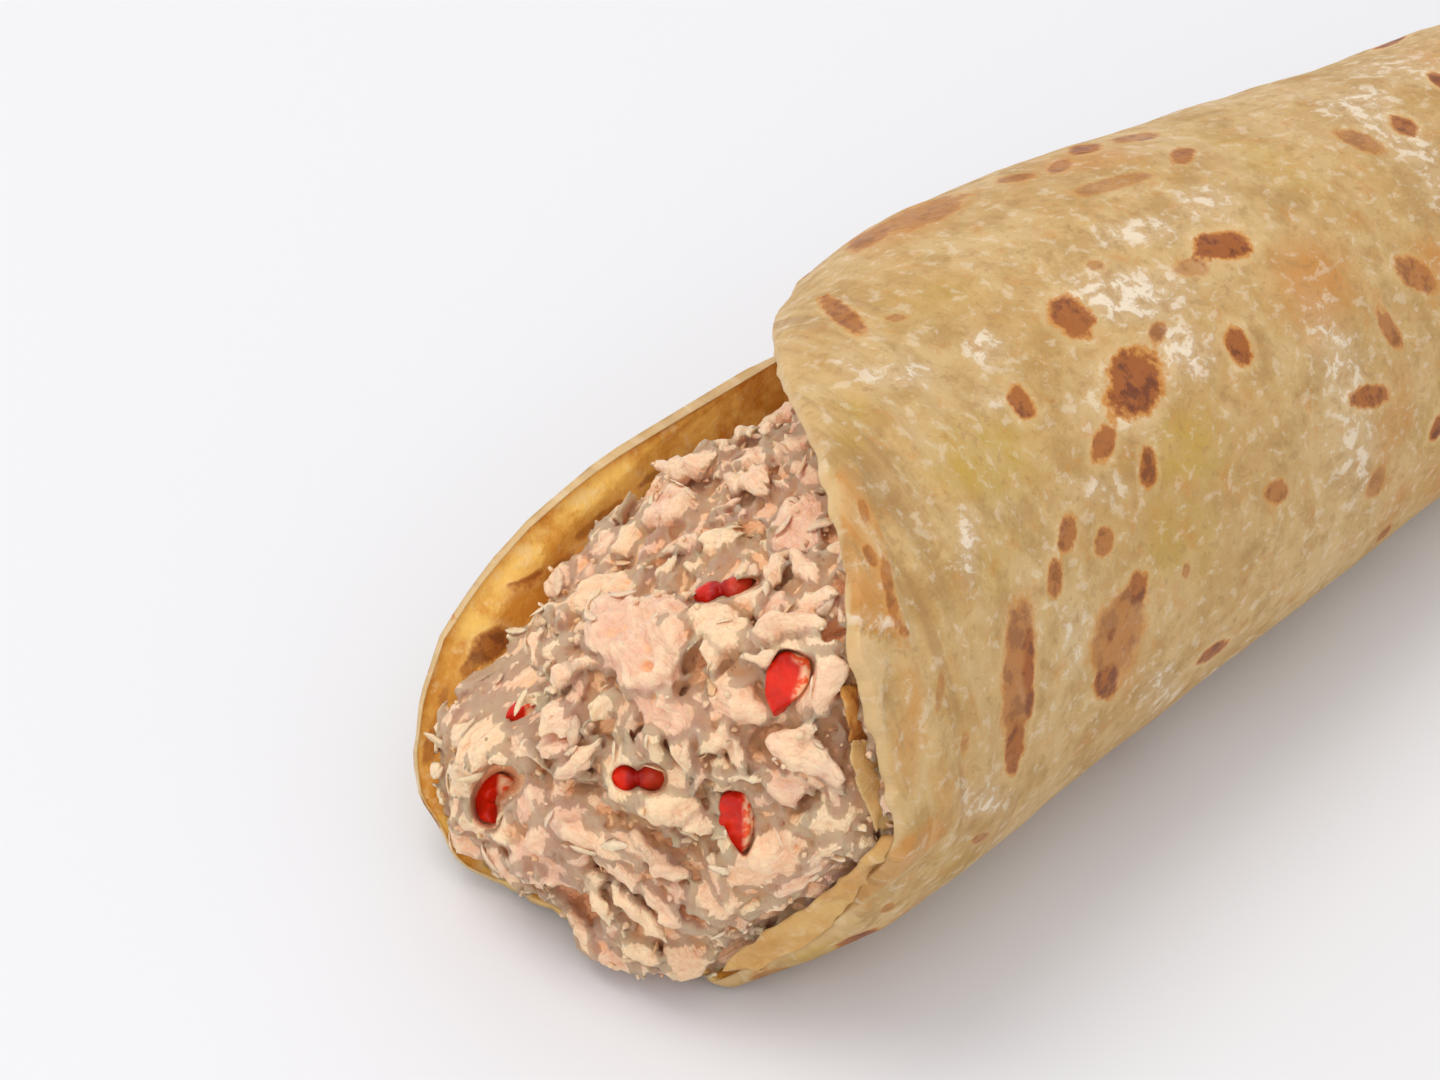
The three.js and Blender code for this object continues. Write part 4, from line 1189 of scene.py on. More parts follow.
# What the photograph shows on the open face: pixel, length and width in its pixels, thickness in
# millimetres, turn in degrees anticlockwise, height above the face in millimetres, and the tint
# (0 is the grey pink of the fish, 1 the cream of the dressing). Later kinds go over earlier ones.
shown = {
    "lobe": [
        ((635, 645), 128, 70, 3.4, -42, 0.5, 0.15), ((668, 622), 90, 40, 2.6, -62, 0.5, 0.2),
        ((600, 600), 96, 54, 2.6, 12, 0.1, 0.75), ((655, 690), 92, 46, 2.6, -50, 0.6, 0.2),
        ((690, 720), 50, 34, 2.2, -50, 0.3, 0.5), ((800, 530), 70, 58, 2.4, -58, 0.0, 0.3),
        ((812, 478), 50, 26, 2.2, -62, 0.2, 0.4), ((762, 465), 44, 30, 2.0, 10, 0.2, 0.25),
        ((725, 547), 40, 28, 2.4, 14, 0.5, 0.95), ((740, 705), 58, 50, 2.4, -20, 0.3, 0.5),
        ((560, 862), 70, 44, 2.6, 30, 0.4, 0.1), ((545, 838), 64, 30, 2.2, 34, 0.6, 0.1),
        ((490, 745), 66, 60, 2.6, 60, 0.4, 0.8), ((470, 780), 40, 44, 2.2, -70, 0.4, 0.8),
        ((500, 820), 50, 34, 2.2, -42, 0.2, 0.7), ((640, 870), 100, 30, 2.4, -38, 0.5, 0.2),
        ((690, 905), 88, 34, 2.4, -56, 0.3, 0.35), ((770, 860), 84, 60, 2.4, 30, 0.0, 0.6),
        ((836, 815), 56, 40, 2.2, 70, 0.2, 0.9), ((720, 890), 50, 40, 2.2, 40, 0.2, 0.6),
        ((660, 780), 60, 40, 2.2, 10, 0.2, 0.6),
    ],
    "chunk": [
        ((681, 519), 52, 52, 4.0, 0, 0.9, 0.3), ((566, 733), 60, 56, 4.4, 20, 0.9, 0.15),
        ((722, 632), 66, 40, 3.0, -30, 0.6, 0.7), ((712, 655), 40, 34, 2.6, 0, 0.6, 0.7),
        ((745, 602), 36, 26, 2.2, 0, 0.3, 0.6), ((668, 800), 62, 40, 3.0, 12, 0.6, 0.75),
        ((700, 822), 40, 30, 2.4, 0, 0.5, 0.7), ((790, 780), 50, 34, 2.8, -30, 0.4, 0.2),
        ((820, 775), 34, 34, 2.4, 0, 0.4, 0.2), ((752, 905), 34, 26, 2.6, 30, 0.5, 1.0),
        ((790, 885), 40, 28, 2.4, 30, 0.5, 0.9), ((468, 735), 30, 30, 2.4, 0, 0.4, 0.85),
        ((492, 716), 30, 26, 2.2, 0, 0.4, 0.8), ((780, 610), 34, 30, 2.2, 0, 0.2, 0.4),
    ],
    "shard": [
        ((697, 476), 74, 24, 1.5, 6, 1.0, 0.25), ((757, 492), 62, 26, 1.0, -22, 0.8, 0.4),
        ((655, 520), 56, 15, 1.3, -72, 0.7, 0.3), ((684, 553), 50, 15, 1.3, 12, 0.5, 0.15),
        ((742, 440), 36, 16, 1.2, -62, 0.8, 0.3), ((757, 436), 34, 14, 1.2, -84, 0.8, 0.3),
        ((775, 440), 34, 12, 1.0, 58, 0.7, 0.35), ((728, 452), 30, 14, 1.2, -12, 0.6, 0.4),
        ((778, 585), 66, 20, 1.6, 60, 1.0, 0.45), ((800, 632), 80, 24, 1.6, 12, 0.9, 0.4),
        ((823, 602), 46, 20, 1.2, 6, 0.8, 0.25), ((806, 655), 64, 14, 1.0, -26, 1.1, 0.6),
        ((775, 662), 56, 18, 1.6, 10, 0.8, 0.5), ((812, 572), 44, 18, 1.2, -50, 0.7, 0.2),
        ((828, 645), 40, 16, 1.2, -30, 0.8, 0.3), ((764, 640), 44, 16, 1.6, 34, 0.8, 0.45),
        ((459, 680), 34, 15, 1.2, -30, 0.9, 0.25), ((474, 676), 34, 15, 1.2, 72, 0.9, 0.3),
        ((487, 690), 34, 18, 1.6, -80, 0.8, 0.2), ((504, 680), 30, 15, 1.3, 84, 0.6, 0.3),
        ((572, 684), 68, 14, 1.4, 38, 1.0, 0.3), ((553, 672), 50, 12, 1.2, 44, 0.8, 0.4),
        ((592, 672), 56, 14, 1.4, 22, 0.8, 0.4), ((545, 755), 52, 13, 1.3, -52, 0.8, 0.45),
        ((588, 758), 62, 14, 1.4, 38, 0.8, 0.45), ((612, 712), 44, 22, 1.4, 60, 0.7, 0.8),
        ((664, 738), 46, 16, 1.8, 78, 0.9, 0.85), ((692, 752), 52, 16, 1.8, 84, 0.9, 0.6),
        ((722, 735), 50, 18, 1.6, 48, 0.7, 0.6), ((742, 745), 46, 16, 1.4, -70, 0.7, 0.5),
        ((815, 748), 84, 42, 1.5, -26, 1.2, 0.2), ((836, 764), 50, 20, 1.2, -50, 1.0, 0.25),
        ((748, 772), 60, 10, 1.0, -6, 1.0, 0.4), ((842, 790), 40, 14, 1.2, -62, 0.7, 0.4),
        ((606, 833), 104, 20, 1.6, -30, 1.1, 0.4), ((570, 818), 60, 26, 1.2, 26, 0.7, 0.05),
        ((548, 852), 64, 28, 1.2, 50, 0.7, 0.05), ((580, 858), 56, 20, 1.2, 30, 0.8, 0.15),
        ((612, 898), 74, 17, 1.4, -54, 1.3, 0.6), ((648, 900), 84, 17, 1.4, -50, 1.3, 0.7),
        ((600, 874), 34, 16, 1.4, 20, 1.0, 0.6), ((652, 946), 50, 20, 1.5, -24, 1.0, 0.7),
        ((684, 912), 104, 22, 1.6, -56, 1.2, 0.4), ((706, 930), 76, 18, 1.4, -60, 1.0, 0.35),
        ((664, 850), 74, 22, 1.4, -34, 0.9, 0.15), ((640, 842), 60, 18, 1.4, -30, 0.9, 0.15),
        ((722, 872), 60, 22, 1.6, -60, 0.6, 0.45), ((798, 868), 84, 22, 1.6, 34, 0.8, 0.4),
        ((824, 846), 64, 18, 1.4, 32, 0.9, 0.35), ((770, 900), 76, 14, 1.4, 40, 0.8, 0.45),
        ((466, 690), 40, 18, 1.8, -24, 1.3, 0.3), ((494, 664), 42, 16, 1.6, 40, 1.2, 0.35),
        ((480, 704), 44, 18, 1.8, 20, 1.2, 0.4), ((448, 738), 30, 10, 1.0, -8, 0.8, 0.9),
        ((444, 770), 30, 12, 1.2, -16, 0.8, 0.9), ((446, 794), 34, 14, 1.2, -30, 0.8, 0.9),
        ((506, 764), 40, 12, 1.2, 30, 0.5, 0.5),
    ],
    "pit": [
        ((637, 515), 18, 44, 1.8, -12, 0.2, 0.1), ((659, 562), 26, 18, 2.2, 0, 0.2, 0.1),
        ((680, 598), 24, 46, 2.6, -24, 0.2, 0.1), ((706, 658), 26, 40, 2.6, -30, 0.2, 0.1),
        ((772, 570), 30, 14, 2.0, 20, 0.2, 0.1), ((840, 588), 16, 24, 2.2, 0, 0.2, 0.0),
        ((838, 632), 30, 22, 2.6, 20, 0.2, 0.0), ((766, 692), 22, 20, 1.8, 0, 0.2, 0.1),
        ((768, 744), 46, 30, 3.2, 10, 0.0, 0.0), ((603, 722), 18, 14, 2.0, 0, 0.3, 0.1),
        ((547, 766), 22, 14, 2.2, -20, 0.3, 0.1), ((580, 785), 34, 14, 2.2, 10, 0.3, 0.1),
        ((614, 812), 40, 16, 2.4, -16, 0.2, 0.1), ((664, 843), 44, 20, 2.8, -30, 0.2, 0.1),
        ((700, 830), 30, 14, 2.4, -20, 0.3, 0.1), ((632, 916), 13, 34, 2.2, 34, 0.9, 0.1),
        ((574, 905), 70, 40, 8.0, -33, 0.0, 0.1), ((718, 441), 18, 20, 2.0, 0, 0.3, 0.0),
        ((703, 458), 16, 8, 1.6, 0, 0.4, 0.0), ((812, 800), 30, 12, 1.8, 20, 0.2, 0.1),
        ((700, 912), 11, 44, 1.8, 28, 0.9, 0.1), ((650, 892), 11, 48, 1.6, 38, 0.8, 0.1),
        ((734, 928), 16, 40, 1.8, 14, 0.2, 0.1), ((852, 735), 14, 44, 2.6, 8, 0.0, 0.0),
        ((762, 920), 46, 8, 1.6, 36, 0.2, 0.2), ((790, 452), 20, 16, 2.0, 0, 0.0, 0.0),
        ((786, 420), 40, 56, 6.0, 20, 0.0, 0.2), ((690, 500), 40, 8, 1.6, 4, 0.1, 0.2),
    ],
}
shownKinds = {
    "lobe": {"soft": 1.4, "rise": 0.35, "sunk": 0.5, "deeper": 0},
    "chunk": {"soft": 0.9, "rise": -0.2, "sunk": 0, "deeper": 0},
    "shard": {"soft": 0.45, "rise": 0.15, "sunk": 0, "deeper": 0},
    "pit": {"soft": 0.6, "rise": 0.0, "sunk": 0, "deeper": 0.5},
}
shownList = [(kind, *entry) for kind, entries in shown.items() for entry in entries]


# where the photograph's rays meet the plain face
def facePlaces(pixels):
    rays = np.array([photoRay(*pixel) for pixel in pixels])
    far = np.linspace(*photoView["faceReach"])
    places = viewPoint + rays[:, None, :] * far[None, :, None]
    deep = depthInside(places[..., 0], places[..., 1], places[..., 2]) > 0
    first = np.maximum(deep.argmax(1), 1)
    return places[np.arange(len(pixels)), first]


def faceNormals(places):
    step = 0.4
    slope = np.stack([
        depthInside(*(places + step * axis).T) - depthInside(*(places - step * axis).T)
        for axis in np.eye(3)], 1)
    return -slope / np.linalg.norm(slope, axis=1)[:, None]


# the directions of something that lies on the face and looks turned in the photograph
def directionsOnFace(normal, turn):
    image = viewRight * math.cos(turn) + viewUp * math.sin(turn)
    towards = max(normal @ viewBack, 0.35)
    long = image - viewBack * (image @ normal) / towards
    stretch = min(np.linalg.norm(long), 1.6)
    long = long - normal * (long @ normal)
    long /= np.linalg.norm(long)
    return long, np.cross(normal, long), stretch


# which places lie on something that the photograph shows
def coveredByShown(spots):
    across, down = toPhoto(spots)
    taken = np.zeros(len(spots), bool)
    for kind, pixel, long, wide, thick, turn, lift, tint in shownList:
        along, aside = turnedBy(math.radians(turn), across - pixel[0], pixel[1] - down)
        along, aside = along / (long / 2 + 6), aside / (wide / 2 + 6)
        taken |= (along ** 2 + aside ** 2 < 1) & (kind != "pit")
    return taken


# Adds one lump, flake or hollow to the filling. It is blended in over the length soft.
def addSolid(block, tables, kind, at, axes, half, tint, number, soft, bend):
    part, (x, y, z) = block.around(at, float(max(half)) * 1.25 + 1.6)
    if min(s.stop - s.start for s in part) < 2:
        return
    x, y, z = (axis + warp[part] for axis, warp in zip((x, y, z), tables["warp"]))
    u, v, w = alongAxes(x, y, z, axes)
    along = u / half[0]
    phase = number * 2.4
    if kind == "shard":
        w = w + bend * half[0] * along * along + 0.12 * np.sin(1.7 * u + phase)
        v = v + 0.3 * half[1] * np.sin(1.1 * along * 2 + phase)
        across = v / (half[1] * np.clip(1.05 - 0.55 * np.abs(along) ** 1.5, 0.2, 1))
        high = w / (half[2] * np.clip(1.0 - 0.3 * along * along, 0.3, 1))
        power = 2.4
    else:
        across, high, power = v / half[1], w / half[2], 2.0
    a, b, c = np.abs(along), np.abs(across), np.abs(high)
    size = (a ** power + b ** power + c ** power + 1e-6) ** (1 / power)
    slope = np.sqrt((a ** (power - 1) / half[0]) ** 2 + (b ** (power - 1) / half[1]) ** 2
                    + (c ** (power - 1) / half[2]) ** 2) * size ** (1 - power)
    distance = ((size - 1) / np.maximum(slope, 1 / max(half))).astype(np.float32)
    if kind == "shard":
        distance += 0.085 * np.sin(v * 2 * math.pi / 0.85 + 0.9 * np.sin(u * 1.3 + phase) + phase)
    field = block.distance[part]
    if kind == "pit":
        share = np.maximum(soft - np.abs(field + distance), 0) / soft
        block.distance[part] = np.maximum(field, -distance) + share * share * soft / 4
        return
    wins = distance < field
    block.distance[part] = softMin(field, distance, soft)
    tables["tint"][part] = np.where(wins, tint, tables["tint"][part])
    tables["grainU"][part] = np.where(wins, u, tables["grainU"][part])
    tables["grainV"][part] = np.where(wins, v + number * 3.7, tables["grainV"][part])


rimMarginAt = curveThrough(filling["rimMargin"])
rimSlopeAt = curveThrough(filling["rimSlope"])


def makeFace():
    block = Block(filling["low"], filling["high"], filling["voxel"])
    x, y, z = block.axes
    depth = depthInside(x[:, None, None], y[None, :, None], z[None, None, :]).astype(np.float32)
    block.distance = filling["sunk"] - depth
    near = np.where(np.abs(depth.ravel()) < filling["shell"] + 1.5)[0]
    places = block.places(near)
    bumps = np.zeros(len(near), np.float32)
    for number, (size, height) in enumerate(filling["bumps"]):
        bumps += height * softNoise(places, size, 30 + number)
    tables = {name: np.zeros(block.shape, np.float32) for name in ("tint", "grainU", "grainV")}
    tables["tint"][:] = 0.5
    tables["grainU"][:] = x[:, None, None]
    tables["grainV"][:] = z[None, None, :] + y[None, :, None]
    tables["warp"] = []
    for axis in range(3):
        warp = np.zeros(block.shape, np.float32)
        for number, (size, height) in enumerate(filling["warp"]):
            warp.ravel()[near] += height * softNoise(places, size, 70 + 5 * axis + number)
        tables["warp"].append(warp)
    angle, radius = placeInRoll(*places.T)
    wall = (radius - readRoom(makeRoomTable(filling["pressed"]), angle, places[:, 0])).astype(np.float32)

    # how high it stands near the wall, and where it stays behind the rim
    farSide = np.where(angle > 180, angle - 360, angle)
    nearWall = smoothStep(-5, -0.5, wall)
    limit = filling["highest"] - (filling["highest"] - 0.35) * nearWall
    limit = limit - filling["farDrop"] * nearWall * smoothStep(-30, -62, farSide)
    limit = limit - filling["topDrop"] * smoothStep(*filling["topFrom"], places[:, 0])
    slope = rimSlopeAt(farSide)
    behind = rimMarginAt(farSide) + frontRimAt(farSide) - places[:, 0] + slope * (wall - 0.3)
    behind = behind / np.hypot(1, slope) + 0.5 * softNoise(places, 4.5, 39)
    cap = np.maximum(-depth.ravel()[near] - limit, behind).astype(np.float32)
    base = np.maximum(block.distance.ravel()[near], cap + filling["under"])
    block.distance.ravel()[near] = base
    level = block.distance.copy()
    block.distance.ravel()[near] += bumps

    dice = np.random.default_rng(filling["shards"]["seed"])
    on = np.where((np.abs(base - filling["sunk"]) < 0.5) & (wall < 0.2))[0]

    def outwardAt(places):
        slope = np.stack([
            block.read(level, places + 0.6 * axis) - block.read(level, places - 0.6 * axis)
            for axis in np.eye(3)], 1)
        return slope / np.linalg.norm(slope, axis=1)[:, None]

    for group, kind, soft in (("clumps", "lobe", 1.0), ("shards", "shard", 0.6), ("hollows", "pit", 0.7)):
        facts = filling[group]
        spots = places[dice.choice(on, facts["count"])]
        taken = coveredByShown(spots)
        for number, (spot, normal) in enumerate(zip(spots, outwardAt(spots))):
            turn = dice.uniform(0, math.pi)
            outward = normal + dice.normal(0, filling["lean"][kind], 3)
            half = np.array([dice.uniform(*facts[side]) for side in ("long", "wide", "thick")]) / 2
            lift = dice.uniform(*facts["lift"])
            tint = dice.uniform(0, 0.9)
            bend = dice.uniform(-0.25, 0.25)
            if taken[number]:
                if kind != "shard":
                    continue
                half, lift = half * 0.55, lift - 0.1
            outward /= np.linalg.norm(outward)
            long = np.cross(outward, [math.cos(turn), math.sin(turn), 0.3])
            long /= np.linalg.norm(long)
            axes = (long, np.cross(outward, long), outward)
            addSolid(block, tables, kind, spot + normal * lift, axes, half, tint, number, soft, bend)

    spots = facePlaces([entry[1] for entry in shownList])
    normals = faceNormals(spots)
    for _ in range(4):
        cut = np.clip(block.read(level, spots) - filling["sunk"], 0, 7)
        spots = spots - (cut / np.maximum(normals @ viewBack, 0.4))[:, None] * viewBack
    normals = outwardAt(spots)
    for number, (kind, pixel, long, wide, thick, turn, lift, tint) in enumerate(shownList):
        spot, normal, facts = spots[number], normals[number], shownKinds[kind]
        scale = pixelsPerMm(spot)
        longAxis, sideAxis, stretch = directionsOnFace(normal, math.radians(turn))
        half = np.array([long / 2 * stretch, wide / 2 * 1.1, 0]) / scale
        half[2] = thick / 2 + facts["deeper"]
        bend = 0.12 * math.sin(number * 2.1)
        at = spot + normal * (lift + facts["rise"] - facts["sunk"])
        addSolid(block, tables, kind, at, (longAxis, sideAxis, normal), half, tint, number + 1000,
                 facts["soft"], bend)

    cap += 0.35 * softNoise(places, 2.6, 38) + 0.4 * bumps - filling["above"]
    block.distance.ravel()[near] = np.maximum(block.distance.ravel()[near], cap)

    # the dressing evens out some parts
    smooth = blurred(block.distance, 2, 2)
    creamy = np.zeros(block.shape, np.float32)
    patches = softNoise(places, 5, 41) + 0.25 * softNoise(places, 1.8, 42)
    creamy.ravel()[near] = smoothStep(-0.1, 0.45, patches)
    film = (smooth - 0.1) * 0.6 * creamy + block.distance * (1 - 0.6 * creamy)
    block.distance = np.minimum(film, block.distance + 0.3 * creamy)
    crust = np.where(np.abs(block.distance.ravel()) < 1.2)[0]
    crustPlaces = block.places(crust)
    calm = 1 - 0.35 * creamy.ravel()[crust]
    calm = calm * (0.75 + 0.45 * softNoise(crustPlaces, 6, 45))
    flakes = np.stack([0.45 * tables["grainU"].ravel()[crust], tables["grainV"].ravel()[crust],
                       0.8 * crustPlaces @ faceOut], 1)
    flakes += 0.5 * softNoise(crustPlaces, 1.9, 46)[:, None]
    for number, (size, height) in enumerate(filling["ridges"]):
        ridge = np.abs(softNoise(flakes, size, 47 + number)) * 2 - 0.6
        block.distance.ravel()[crust] += height * calm * ridge
    block.distance.ravel()[crust] += 0.16 * softNoise(crustPlaces, 0.85, 43)

    for facts in peppers.values():
        at, long, side, normal = facts["frame"]
        part, (x, y, z) = block.around(at, 7.0)
        w = alongAxes(x, y, z, [normal])[0]
        towards = np.maximum(w, 0) / (normal @ viewBack)
        x, y, z = (axis - towards * viewBack[i] for i, axis in enumerate((x, y, z)))
        u, v = alongAxes(x, y, z, (long, side))
        level = np.clip(w, -0.4, 0.2).ravel()
        well = pepperDistance(facts, u.ravel(), v.ravel(), level).reshape(u.shape).astype(np.float32)
        flare = facts.get("flare", filling["wellFlare"]) * np.maximum(w, 0)
        well = well - facts.get("well", filling["well"]) - flare
        well = np.maximum(well + 0.2 * tables["warp"][0][part], -0.1 - w)
        block.distance[part] = np.maximum(block.distance[part], -well)

    wallAll = np.full(block.shape, 5.0, np.float32)
    wallAll.ravel()[near] = wall + 0.16 * softNoise(places, 2.2, 44) + 0.12 * bumps
    deeper = depth > filling["shell"]
    block.distance = np.maximum(block.distance, np.where(deeper & (wallAll > 4), -5.0, wallAll))
    block.distance = np.maximum(block.distance, depth - filling["shell"])
    underside = (rollShape["thick"] - 0.3 - block.axes[2])[None, None, :].astype(np.float32)
    block.distance = np.maximum(block.distance, underside)

    # how enclosed each place is: about 0.5 on flat parts, more in hollows, less on tops; the material paints
    # shade and light with it
    solid = (block.distance < 0).astype(np.float32)
    hollow = np.maximum(blurred(solid, 3, 2), 0.92 * blurred(solid, 7, 2))
    points, triangles, quads = keepLarge(*block.mesh(filling["adaptivity"]), 400)
    print("wrap: face of the filling,", 2 * len(quads) + len(triangles), "triangles")
    piece = makePiece("tuna_face", points, quads, triangles)
    grain = [block.read(tables[name], points) / 1000 for name in ("grainU", "grainV")]
    setValues(piece, tint=block.read(tables["tint"], points), cream=block.read(creamy, points),
              hollow=block.read(hollow, points), grain=np.stack([*grain, 0 * points[:, 0]], 1))
    angle, radius = placeInRoll(*points.T)
    inward = readRoom(makeRoomTable(filling["pressed"]), angle, points[:, 0]) - radius
    bare = smoothStep(3.2, 1.8, depthInside(*points.T)) * smoothStep(0.7, 1.5, inward)
    for facts in peppers.values():
        bare = bare * (np.linalg.norm(points - facts["frame"][0], axis=1) > facts["long"] / 2 + 0.5)
    setValues(piece, bare=bare)
    return piece


tunaFace = makeFace()


# Loose flakes of the bread's inner layer in the mouth: rows of down, left and right in the photograph.
peels = {
    "peel_light": {"rows": [(740, 851, 878), (762, 852, 892), (788, 860, 895), (812, 868, 894),
                            (832, 878, 890)],
                   "on": "wall", "lift": -0.3, "thick": 0.5, "jag": 2.6, "grid": (26, 14),
                   "inside": 0.1, "toast": -0.5, "darkness": 0.7, "golden": 0.25},
    "peel_dark": {"rows": [(684, 838, 856), (704, 843, 866), (724, 848, 876), (744, 853, 882),
                           (760, 864, 874)],
                  "on": "wall", "lift": -0.8, "thick": 0.4, "jag": 2.8, "grid": (26, 14),
                  "inside": 0.6, "toast": 0.1, "darkness": 0.7, "golden": 0.9},
    "peel_lip": {"rows": [(834, 884, 900), (850, 872, 897), (870, 852, 883), (890, 828, 865), (910, 804, 846),
                          (928, 774, 831), (945, 750, 805), (957, 734, 782), (970, 722, 760)],
                 "on": "filling", "lift": 0.7, "thick": 0.6, "jag": 3.4, "grid": (56, 18),
                 "inside": 0.3, "toast": -0.3, "darkness": 0.7, "golden": 0.6},
}

# the open face as a tree that rays can be sent to
tunaFace.data.calc_loop_triangles()
facePoints = np.empty(3 * len(tunaFace.data.vertices), np.float32)
tunaFace.data.vertices.foreach_get("co", facePoints)
faceCorners = np.empty(3 * len(tunaFace.data.loop_triangles), np.int32)
tunaFace.data.loop_triangles.foreach_get("vertices", faceCorners)
facePoints = 1000 * facePoints.reshape(-1, 3) - offset
fillingTree = BVHTree.FromPolygons(facePoints.tolist(), faceCorners.reshape(-1, 3).tolist())


# where rays of the photograph enter the roll's inner wall, or its run beyond the open end
def wallPlaces(across, down, lift):
    rays = np.array([photoRay(*pixel) for pixel in zip(across, down)])
    table = makeRoomTable(0.0)
    far = np.linspace(*photoView["wallReach"])
    places = viewPoint + rays[:, None, :] * far[None, :, None]
    angle, radius = placeInRoll(places[..., 0], places[..., 1], places[..., 2])
    inside = radius < readRoom(table, angle, places[..., 0]) + lift
    return places[np.arange(len(rays)), np.maximum(inside.argmax(1), 1)]


# where rays of the photograph meet the filling, evened out and a little nearer to the camera
def fillingPlaces(across, down, lift):
    rays = np.array([photoRay(*pixel) for pixel in zip(across.ravel(), down.ravel())])
    hits = [fillingTree.ray_cast(Vector(viewPoint), Vector(ray)) for ray in rays]
    far = np.array([np.nan if hit[0] is None else hit[3] for hit in hits]).reshape(across.shape)
    for row in range(1, len(far)):
        far[row] = np.where(np.isnan(far[row]), far[row - 1], far[row])
    far = np.minimum(far, far.min(1)[:, None] + np.linspace(1.0, 3.0, far.shape[1]))
    for turn in range(20):
        wide = np.pad(far, 1, mode="edge")
        beside = np.stack([wide[:-2, 1:-1], wide[2:, 1:-1], wide[1:-1, :-2], wide[1:-1, 2:]])
        far = np.minimum(far, beside.min(0)) if turn < 3 else beside.mean(0)
    return viewPoint + rays.reshape(*across.shape, 3) * (far - lift)[..., None]


def makePeel(name, facts, seed):
    rows, columns = facts["grid"]
    downs = [row[0] for row in facts["rows"]]
    left = curveThrough([(row[0], row[1]) for row in facts["rows"]])
    right = curveThrough([(row[0], row[2]) for row in facts["rows"]])
    down = np.linspace(downs[0], downs[-1], rows)
    ticks = np.stack([down, 0 * down, 0 * down], 1)
    starts = left(down) + facts["jag"] * softNoise(ticks, 9, seed)
    ends = right(down) + facts["jag"] * softNoise(ticks, 7, seed + 1)
    share = np.linspace(0, 1, columns)
    across = starts[:, None] + (ends - starts)[:, None] * share[None, :]
    downGrid = down[:, None] + 0 * across
    if facts["on"] == "filling":
        middle = fillingPlaces(across, downGrid, facts["lift"])
    else:
        middle = wallPlaces(across.ravel(), downGrid.ravel(), facts["lift"]).reshape(rows, columns, 3)
    for _ in range(3):
        inner = (middle[:-2, 1:-1] + middle[2:, 1:-1] + middle[1:-1, :-2] + middle[1:-1, 2:]) / 4
        middle[1:-1, 1:-1] = inner
    slopeDown = np.gradient(middle, axis=0)
    slopeAcross = np.gradient(middle, axis=1)
    normal = np.cross(slopeDown, slopeAcross)
    normal /= np.linalg.norm(normal, axis=2)[..., None] + 1e-9
    flip = np.sign((normal * viewBack).sum(2))[..., None]
    normal = normal * flip
    curl = 0.55 * softNoise(middle.reshape(-1, 3), 2.0, seed + 2)
    middle = middle + normal * curl.reshape(rows, columns, 1)
    rim = np.minimum.outer(np.minimum(np.arange(rows), rows - 1 - np.arange(rows)),
                           np.minimum(np.arange(columns), columns - 1 - np.arange(columns)))
    half = facts["thick"] / 2 * np.sqrt(np.clip(rim / 2.5, 0, 1))
    top = middle + normal * half[..., None]
    bottom = middle - normal * half[..., None]
    number = np.arange(rows * columns).reshape(rows, columns)
    inside = rim > 0
    below = number.copy()
    below[inside] = rows * columns + np.arange(inside.sum())
    quads = np.concatenate([gridFaces(number), gridFaces(below, True)])
    if np.cross(top[0, 1] - top[0, 0], top[1, 1] - top[0, 0]) @ normal[1, 1] < 0:
        quads = quads[:, ::-1]
    points = np.concatenate([top.reshape(-1, 3), bottom[inside]])
    piece = makePiece(name, points, quads)
    for label in ("toast", "inside", "darkness", "golden", "flaky", "butter", "folds"):
        setValues(piece, **{label: np.full(len(points), facts.get(label, 0.0))})
    setValues(piece, fromRim=np.concatenate([rim.ravel(), rim[inside]]) * 0.6, sheetPlace=points / 1000)
    piece.data.materials.append(chapatiPiece.data.materials[0])
    return piece


peelPieces = [
    makePeel(name, facts, 80 + 4 * number) for number, (name, facts) in enumerate(peels.items())
]
print("wrap: loose flakes laid")


tail = {
    "voxel": 0.45,
    "recess": 5.0,
    "hollow": 8.0,
    "shell": 7.0,
    "low": (126.0, -20.0, 1.2),
    "high": (186.0, 20.0, 34.0),
}
core = {"voxel": 1.5, "low": (12.0, -27.0, 1.0), "high": (188.0, 27.0, 47.0), "under": 5.6}


# how far a place is inside the filling's end in the tail
def tailDepth(angle, radius, room, x):
    stepAngle = rollShape["innerEdge"] + 360
    share = smoothStep(stepAngle - 60, stepAngle, angle)
    end = tailRimAt(angle) + (tailRimAt(rollShape["innerEdge"]) - tailRimAt(angle)) * share - tail["recess"]
    middleEnd = float(tailRimAt(60.0)) - tail["recess"] - tail["hollow"]
    inward = np.clip(radius / np.maximum(room, 1), 0, 1)
    return middleEnd + (end - middleEnd) * inward - x


